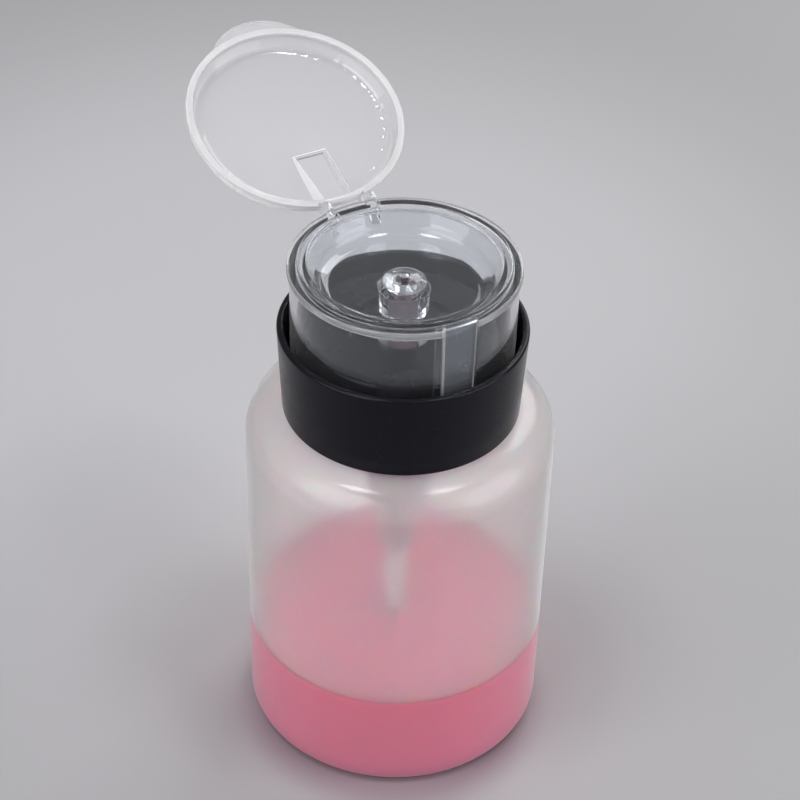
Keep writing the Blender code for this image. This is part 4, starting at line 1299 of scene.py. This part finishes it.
@dataclass(frozen=True)
class DishHead:
    """The clear press head: dish, raised ring, lip, skirt, stem socket, thumb recess and hinge lugs."""

    dish_under: float = 112.5
    floor: float = 113.7
    floor_r: float = 17.6
    hole_r: float = 2.1
    ring_in_r: float = 19.9
    ring_r: float = 21.9
    ring_top: float = 119.6
    lip_r: float = 24.0
    lip: float = 117.25
    lip_top: float = 118.75
    skirt_r: float = 23.45
    skirt_foot_r: float = 23.3
    skirt_wall: float = 1.3
    skirt_foot: float = 95.4
    socket_r: float = 3.3
    socket_out_r: float = 5.2
    socket_foot: float = 106.9
    recess_top: float = 7.8
    recess_foot: float = 7.1
    recess_y: float = 22.45
    recess_highlight_strip: float = 0.38
    backing: float = 1.5
    lug_r: float = 1.9
    lug_gap: float = 4.1
    lug_thickness: float = 2.0
    lug_root: float = 4.8
    eye_r: float = 1.5
    gap_half: float = 4.7
    nozzle_r: float = 4.6
    nozzle_hole_r: float = 0.7
    spigot_r: float = 1.69

    def shell(self) -> Piece:
        """The turned part of the head.

        Returns:
            The turned head.
        """
        inside = self.skirt_r - self.skirt_wall
        return turned(
            "dish_head", Fineness.WIDE,
            (self.hole_r, self.floor, 0.15), (self.floor_r, self.floor, 4.0),
            (self.ring_in_r, self.ring_top, 0.35), (self.ring_r, self.ring_top, 0.35, self.lip_top, 0.2),
            (self.lip_r, self.lip_top, 0.4, self.lip, 0.4), (self.skirt_r, self.lip, 0.15),
            (self.skirt_foot_r, self.skirt_foot, 0.35),
            (self.skirt_foot_r - self.skirt_wall, self.skirt_foot, 0.35), (inside, self.lip + 0.2, 0.8),
            (self.ring_in_r + 0.9, self.lip + 0.2, 0.8), (self.floor_r + 0.7, self.dish_under, 3.0),
            (self.socket_out_r, self.dish_under, 0.5, self.socket_foot, 0.3),
            (self.socket_r, self.socket_foot, 0.2, self.dish_under, 0.1), (self.hole_r, self.dish_under, 0.1),
        )

    def recess_tools(self) -> Tools:
        """The thicker wall behind the thumb recess, and the recess, which is wider at the top.

        Returns:
            Tools and what each one does.
        """
        half, back = self.recess_top / 2 + self.backing / 2, self.backing - self.recess_y
        outline = block(half, -self.recess_y - 0.1, back)
        wall = prism("recess_backing", outline, Along.Z, self.skirt_foot, self.lip)
        front, highlight_strip = -self.lip_r - OVER, self.recess_highlight_strip
        path = np.array([(0.0, front, self.skirt_foot - OVER), (0.0, front, self.lip_top + OVER)])
        widths = np.array([self.recess_foot, self.recess_top])
        unit = np.array([(-0.5, 0.0), (0.5, 0.0), (0.5, 1.0), (highlight_strip, 1.0), (-highlight_strip, 1.0), (-0.5, 1.0)])
        sections = unit[None] * np.stack([widths, np.full(2, -front - self.recess_y)], -1)[:, None]
        across, inward, _ = np.eye(3)
        return [(wall, Cut.JOIN), (swept("thumb_recess", path, across, inward, sections), Cut.REMOVE)]

    def hinge_tools(self) -> Tools:
        """The two lugs, the eyes in them, and the gap in the raised ring for the lid's channel.

        Returns:
            Tools and what each one does.
        """
        y, z = LEVELS.hinge_y, LEVELS.hinge_z
        root = self.skirt_r - self.skirt_wall / 2 - 0.8
        low, high = z - self.lug_root, self.lip_top - 0.4
        outline = [(root, low), *arc((y, z), self.lug_r, -50, 90, 20), (root, high)]
        reach = self.lug_gap + self.lug_thickness
        gap = block(self.gap_half, self.ring_in_r - 4, self.ring_r + 0.1)
        return [
            (softened(prism("left_lug", outline, Along.X, -reach, -self.lug_gap)), Cut.JOIN),
            (softened(prism("right_lug", outline, Along.X, self.lug_gap, reach)), Cut.JOIN),
            (rod("eyes", (y, z), self.eye_r, -reach - OVER, reach + OVER), Cut.REMOVE),
            (prism("ring_gap", gap, Along.Z, self.lip_top, self.ring_top + OVER), Cut.REMOVE),
        ]

    def zones(self, middles: np.ndarray, normals: np.ndarray) -> Zones:
        """Picks the flat floor of the thumb recess, its side walls with a band of the floor along the left
        one, which get a painted highlight, and the lip's outer edge.

        Args:
            middles: Middles of the head's faces.
            normals: Their normals.

        Returns:
            Each finish and its faces.
        """
        x, y, z = middles.T
        facing, near, skin = 0.95, 0.1, 0.35
        floor = (normals[:, 1] < -facing) & (np.abs(y + self.recess_y) < near)
        side = (np.abs(normals[:, 0]) > facing) & (y < -self.recess_y + near) & (np.abs(x) < self.recess_top)
        highlight_strip = floor & (x < -self.recess_highlight_strip * self.recess_foot) & (x > -self.recess_top / 2)
        # Painted highlight: the milky finish makes the recess's side walls and the band beside the left one
        # lighter.
        edges = (side | highlight_strip) & (z > self.skirt_foot + near)
        lip = (z > self.lip - near / 2) & (z < self.lip_top) & (np.hypot(x, y) > self.lip_r - skin)
        return [(RECESS, floor & (np.abs(x) < self.recess_top / 2)), (MILKY_AND_HIGHLIGHT, edges), (HAZY, lip)]

    def nozzle(self) -> Piece:
        """The domed insert in the middle of the dish, with its spigot in the stem.

        Returns:
            The nozzle.
        """
        low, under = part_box("dispensing_nozzle")[0][2] / MM, self.floor + LEVELS.fit
        return turned(
            "outlet_nozzle", Fineness.NARROW,
            (self.nozzle_hole_r, low, 0.1), (self.spigot_r, low, 0.2, under, 0.1),
            (self.nozzle_r, under, 0.15, under + 0.5, 0.3), (self.nozzle_r * 0.7, under + 1.25, 1.5),
            (self.nozzle_hole_r * 1.6, under + 1.7, 0.5), (self.nozzle_hole_r, under + 1.6, 0.1),
        )

    def build(self) -> None:
        """Makes and places the head and its nozzle."""
        head = self.shell()
        apply_tools(head, self.recess_tools() + self.hinge_tools())
        trim(place(head, Body.HEAD, CLEAR, "press_head"), self.zones)
        place(self.nozzle(), Body.HEAD, CLEAR, "dispensing_nozzle")


def block(half: float, low_y: float, high_y: float) -> list[Pair]:
    """The outline of a block that reaches half its width to both sides of the middle."""
    return [(-half, low_y), (half, low_y), (half, high_y), (-half, high_y)]


@dataclass(frozen=True)
class FlipLid:
    """The clear lid, made closed with heights from the hinge axis, and turned open about it."""

    open_angle: float = 157.0
    rim: float = 1.8
    rim_top: float = 2.9
    top: float = 6.6
    plate: float = 1.2
    radius: float = 23.85
    wall: float = 1.1
    wall_step: float = 0.6
    rim_width: float = 1.6
    top_r: float = 22.05
    inner_corner: float = 3.7
    corner_fillet: float = 2.8
    tab_reach: float = 2.7
    tab_half: float = 11.0
    tab_thickness: float = 1.2
    tab_lift: float = 0.3
    knuckle_r: float = 1.5
    knuckle_half: float = 3.7
    stub_r: float = 1.2
    stub_half: float = 6.0
    heel_length: float = 1.9
    heel_thickness: float = 1.1
    channel_half: float = 3.3
    channel_wall: float = 0.8
    channel_floor: float = 1.0
    channel_start: float = 18.0
    channel_shallow: float = 1.1
    channel_draft: float = 0.25
    channel_end: float = 0.6
    ripple: float = 0.05
    ripple_reach: Pair = (2.2, 1.6)
    ripple_fade: Pair = (2.0, 0.08)
    ripple_drop: float = 0.5
    ripple_beside: float = 1.5
    ripple_turn: float = 0.3
    ripple_growth: Pair = (3.0, 2.0)
    fine_waves: float = 46.0
    coarse_waves: float = 31.0
    coarse_shift: float = 1.3

    def shell(self) -> Piece:
        """The turned part of the lid: rim, sloped wall and plate.

        Returns:
            The turned lid.
        """
        under = self.top - self.plate
        return turned(
            "flip_lid", Fineness.WIDE,
            (0.0, under, 0.0), (self.radius - self.inner_corner, under, self.corner_fillet),
            (self.radius - self.wall * 1.3, self.rim_top + 0.3, 0.6),
            (self.radius - self.rim_width, self.rim, 0.15), (self.radius, self.rim, 0.2, self.rim_top, 0.35),
            (self.radius - self.wall_step, self.rim_top + 0.2, 0.4), (self.top_r, self.top, 1.3),
            (0.0, self.top, 0.0),
            centre_y=-LEVELS.hinge_y,
        )

    def tab(self) -> Piece:
        """The thumb tab: between the rim and an arc through the tab's two ends and its tip.

        Returns:
            The tab.
        """
        root_r = self.radius - self.wall / 2
        end_y = math.sqrt(root_r**2 - self.tab_half**2)
        rise = self.radius + self.tab_reach - end_y
        arc_r = (self.tab_half**2 + rise**2) / (2 * rise)
        centre = -LEVELS.hinge_y - (self.radius + self.tab_reach - arc_r)
        spread = math.degrees(math.atan2(self.tab_half, arc_r - rise))
        inner = math.degrees(math.atan2(self.tab_half, end_y))
        outline = arc((0.0, centre), arc_r, -90 - spread, -90 + spread, 48)
        outline += arc((0.0, -LEVELS.hinge_y), root_r, -90 + inner, -90 - inner, 48)[1:-1]
        return prism("thumb_tab", outline, Along.Z, self.rim + self.tab_lift, self.rim + self.tab_thickness)

    def channel_tools(self) -> Tools:
        """The body of the sunken channel and the hollow in it.

        Returns:
            Tools and what each one does.
        """
        floor, start = self.top - self.plate, -self.channel_start
        foot = -(LEVELS.hinge_y - self.radius) - self.wall
        outer = self.channel_half + self.channel_wall
        body = [
            (start, floor + 0.4), (start, floor), (start + self.channel_end, floor - self.channel_shallow),
            (foot - self.wall, self.rim + 0.1), (foot + 0.4, self.rim + 0.1), (foot + 0.4, floor - self.wall),
            (foot - self.wall, floor + 0.4),
        ]
        inside, bottom = start + self.channel_wall, self.rim + self.channel_floor + 0.2
        hollow = [
            (inside, self.top + OVER), (inside, floor + self.channel_floor * 0.6),
            (inside + self.channel_end, floor - self.channel_shallow + self.channel_floor),
            (foot - self.wall, bottom), (0.0, bottom), (0.0, self.top + OVER),
        ]
        trough = prism("channel_body", body, Along.X, -outer, outer)
        room = prism("channel_hollow", hollow, Along.X, -self.channel_half, self.channel_half)
        return [(softened(moved(trough, self.drafted)), Cut.JOIN), (moved(room, self.drafted), Cut.REMOVE)]

    def drafted(self, points: np.ndarray) -> np.ndarray:
        """Leans the channel's side walls in: x comes closer to the middle by the draft times the depth under
        the plate.

        Args:
            points: Points of the closed lid.

        Returns:
            The moved points.
        """
        x, y, z = points.T
        depth = np.maximum(self.top - self.plate - z, 0)
        return np.stack([x - np.sign(x) * self.channel_draft * depth, y, z], -1)

    def rippled(self, points: np.ndarray) -> np.ndarray:
        """Gives the right half of the corner inside the uneven skin of the moulding: a fine and a coarse wave
        round the lid, which grow towards the hinge and fade out with the distance from the corner in radius
        and height, beside the channel and at the plate.

        Args:
            points: Points of the closed lid.

        Returns:
            Where they move to.
        """
        x, y, z = points.T
        across = y + LEVELS.hinge_y
        r, t = np.hypot(x, across), np.arctan2(across, x)
        under, middle = self.top - self.plate, self.radius - self.inner_corner
        (wide, tall), (beside, below) = self.ripple_reach, self.ripple_fade
        hump = np.clip(1 - ((r - middle) / wide) ** 2, 0, 1)
        hump *= np.clip(1 - ((z - under + self.ripple_drop) / tall) ** 2, 0, 1)
        side = np.clip((x - self.channel_half - self.ripple_beside) / beside, 0, 1)
        side *= np.clip((under - z) / below, 0, 1)
        near, (more_fine, more_coarse) = np.clip(t + self.ripple_turn, 0, 1), self.ripple_growth
        fine, coarse = np.sin(self.fine_waves * t), np.sin(self.coarse_waves * t + self.coarse_shift)
        wave = (1.0 + more_fine * near) * fine + more_coarse * near * coarse
        return np.stack([x, y, z - self.ripple * hump * side * (wave + 1.0)], -1)

    def hinge_tools(self) -> Tools:
        """The link from the rim, the knuckle, the heel that stops under the lip, and the two stubs.

        Returns:
            Tools and what each one does.
        """
        half, knuckle_r, top = self.knuckle_half, self.knuckle_r, self.rim + self.channel_floor
        root = -(LEVELS.hinge_y - self.radius) - self.wall + 0.2
        link = [
            (root, self.rim + 0.05), (-knuckle_r + 0.2, self.rim + 0.05), (-knuckle_r + 0.2, 0.0),
            (knuckle_r * 0.9, 0.0), (knuckle_r * 0.9, knuckle_r * 0.5), (-0.4, top), (root, top),
        ]
        low, high = -LEVELS.fit, -LEVELS.fit - self.heel_thickness
        heel = np.array([(0.0, low), (-self.heel_length, low), (-self.heel_length, high), (0.0, high)])
        t = math.radians(self.open_angle)
        heel = heel @ np.array([(math.cos(t), math.sin(t)), (-math.sin(t), math.cos(t))])
        return [
            (prism("link", link, Along.X, -half, half), Cut.JOIN),
            (rod("knuckle", (0, 0), knuckle_r, -half + 0.05, half - 0.05), Cut.JOIN),
            (prism("heel", heel, Along.X, -half + 0.1, half - 0.1), Cut.JOIN),
            (rod("stubs", (0, 0), self.stub_r, -self.stub_half, self.stub_half), Cut.JOIN),
        ]

    def zones(self, middles: np.ndarray, normals: np.ndarray) -> Zones:
        """Turns the faces back to the closed lid, to their distance r from its middle and their height over
        the hinge, and picks the rim's flat foot, the outside of rim and wall, whose radius falls evenly with
        the height, the thumb tab, the channel's sides and shallow end, and the right half of the corner
        inside.

        Args:
            middles: Middles of the open lid's faces.
            normals: Their normals.

        Returns:
            Each finish and its faces.
        """
        t = math.radians(self.open_angle)
        x, y, z = middles[:, 0], middles[:, 1] - LEVELS.hinge_y, middles[:, 2] - LEVELS.hinge_z
        r = np.hypot(x, y * math.cos(t) - z * math.sin(t) + LEVELS.hinge_y)
        height = y * math.sin(t) + z * math.cos(t)
        under, corner = self.top - self.plate, self.radius - self.inner_corner
        flat, slack, margin, skin, band = 0.02, 0.2, 0.3, 0.35, 1.4
        beside, below, steepness, sideways = 1.2, 1.8, 0.92, 0.8
        rim = (r > self.radius - self.rim_width - slack / 2) & (r < self.radius) & (height < self.rim + slack)
        rise = np.clip((height - self.rim_top) / (self.top - self.rim_top), 0, 1)
        wall_r = self.radius - self.wall_step - rise * (self.radius - self.wall_step - self.top_r)
        wall = (r > wall_r - skin) & (r < self.radius + flat)
        wall &= (height > self.rim + slack) & (height < self.top - margin)
        upper = (np.abs(height - self.rim - self.tab_thickness) < flat) & (r > self.radius - margin)
        tab = (r > self.radius + flat) | upper
        tab &= (np.abs(x) < self.tab_half) & (height < self.rim_top + slack)
        steep = np.abs(normals[:, 1] * math.sin(t) + normals[:, 2] * math.cos(t)) < steepness
        end = (np.abs(np.abs(y) - self.channel_start) < band) & steep
        channel = (np.abs(x) < self.channel_half + self.channel_wall + margin) & (r < self.radius - self.wall)
        channel &= (height < under + slack / 2) & ((np.abs(normals[:, 0]) > sideways) | end)
        inside = (r > corner - band) & (r < corner + band) & (x > self.channel_half + beside)
        inside &= (height < under + flat) & (height > under - below)
        return [(MILKY_AND_HIGHLIGHT, rim), (CLOUDY, wall), (FAINT, tab), (PAINTED_EDGE_LIGHT, channel), (WAVY, inside)]

    def build(self) -> None:
        """Makes the lid closed, turns its mesh open about the hinge axis and places it."""
        lid = self.shell()
        tools = [(self.tab(), Cut.JOIN)] + self.channel_tools() + self.hinge_tools()
        apply_tools(moved(lid, self.rippled), tools, sharp=15.0)
        opened = Matrix.Translation(Vector((0, LEVELS.hinge_y, LEVELS.hinge_z)) * MM)
        lid.data.transform(opened @ Matrix.Rotation(-math.radians(self.open_angle), 4, "X"))
        trim(place(lid, Body.LID, CLEAR_THIN, "lid"), self.zones)


# Studio


@dataclass(frozen=True)
class Lamp:
    """A square area lamp that looks at the bottle, with its place, its side and its power in watts."""

    name: str
    at: Triple
    size: float
    watts: float
    aim: Triple = (0.0, 0.0, 70.0)

    def build(self) -> None:
        """Hangs the lamp."""
        data = bpy.data.lights.new(self.name, "AREA")
        data.size = self.size * MM
        data.energy = self.watts
        obj = add_object(self.name, data)
        obj.location = Vector(self.at) * MM
        ahead = Vector(self.aim) * MM - obj.location
        obj.rotation_euler = ahead.to_track_quat("-Z", "Y").to_euler()


@dataclass(frozen=True)
class Studio:
    """The pale floor, the soft lamps and the camera."""

    floor_finish: PaintedLightFloor = PaintedLightFloor(
        "Pale floor", "", (0.452, 0.445, 0.462), 0.55, spread=0.05, grain_scale=900.0, wave_scale=8.0,
        bump_strength=0.05, mottle=0.015, mottle_scale=6.0, marks=0.0,
    )
    floor_half: float = 2500.0
    floor_z: float = -0.15
    world_colour: Triple = (0.93, 0.93, 0.96)
    world_strength: float = 0.40
    lamps: tuple[Lamp, ...] = (
        Lamp("window_lamp", (1150.0, 820.0, 1080.0), 800.0, 8.5),
        Lamp("right_lamp", (750.0, -850.0, 560.0), 1000.0, 7.5),
        Lamp("left_lamp", (-900.0, -150.0, 700.0), 900.0, 6.4),
        Lamp("left_ceiling_lamp", (-367.0, 55.0, 1300.0), 260.0, 2.8),
        Lamp("right_ceiling_lamp", (295.0, -284.0, 1300.0), 260.0, 2.8),
    )
    camera_at: Triple = (-175.7, -317.0, 375.0)
    heading: float = 28.964
    pitch: float = 38.83
    roll: float = 1.70
    lens: float = 99.0

    def floor(self) -> None:
        """The floor, just under the bottle."""
        half, z = self.floor_half, self.floor_z
        mesh = bpy.data.meshes.new("floor")
        points = np.array([(-half, -half, z), (half, -half, z), (half, half, z), (-half, half, z)])
        mesh.from_pydata(points * MM, [], [(0, 1, 2, 3)])
        mesh.materials.append(self.floor_finish.material())
        add_object("floor", mesh)

    def world(self) -> None:
        """Even light from all round."""
        world = bpy.data.worlds.new("Soft room")
        world.use_nodes = True
        back = world.node_tree.nodes["Background"]
        back.inputs["Color"].default_value = (*self.world_colour, 1.0)
        back.inputs["Strength"].default_value = self.world_strength
        bpy.context.scene.world = world

    def camera(self) -> None:
        """The camera: it looks down by the pitch along the heading, and its own right-hand side is raised by
        the roll."""
        data = bpy.data.cameras.new("photo_camera")
        data.sensor_width = 36.0
        data.lens = self.lens
        data.clip_start, data.clip_end = 0.01, 20.0
        obj = add_object("photo_camera", data)
        h, p, r = (math.radians(v) for v in (self.heading, self.pitch, self.roll))
        ahead = Vector((math.sin(h) * math.cos(p), math.cos(h) * math.cos(p), -math.sin(p)))
        level = Vector((math.cos(h), -math.sin(h), 0))
        above = level.cross(ahead)
        right = level * math.cos(r) + above * math.sin(r)
        up = above * math.cos(r) - level * math.sin(r)
        turn = Matrix((right, up, -ahead)).transposed().to_4x4()
        obj.matrix_world = Matrix.Translation(Vector(self.camera_at) * MM) @ turn
        bpy.context.scene.camera = obj

    def build(self) -> None:
        """Makes the floor, the light and the camera."""
        self.floor()
        self.world()
        for lamp in self.lamps:
            lamp.build()
        self.camera()
        bpy.context.scene.view_settings.view_transform = "Standard"


def main() -> None:
    """Builds the sub-assemblies in order, then the studio."""
    logging.basicConfig(level=logging.INFO, format="%(name)s: %(message)s")
    for part in (BottleBody(), Closure(), PumpUnit(), Plunger(), DishHead(), FlipLid(), Studio()):
        LOG.info("building %s", type(part).__name__)
        part.build()


if __name__ == "__main__":
    main()
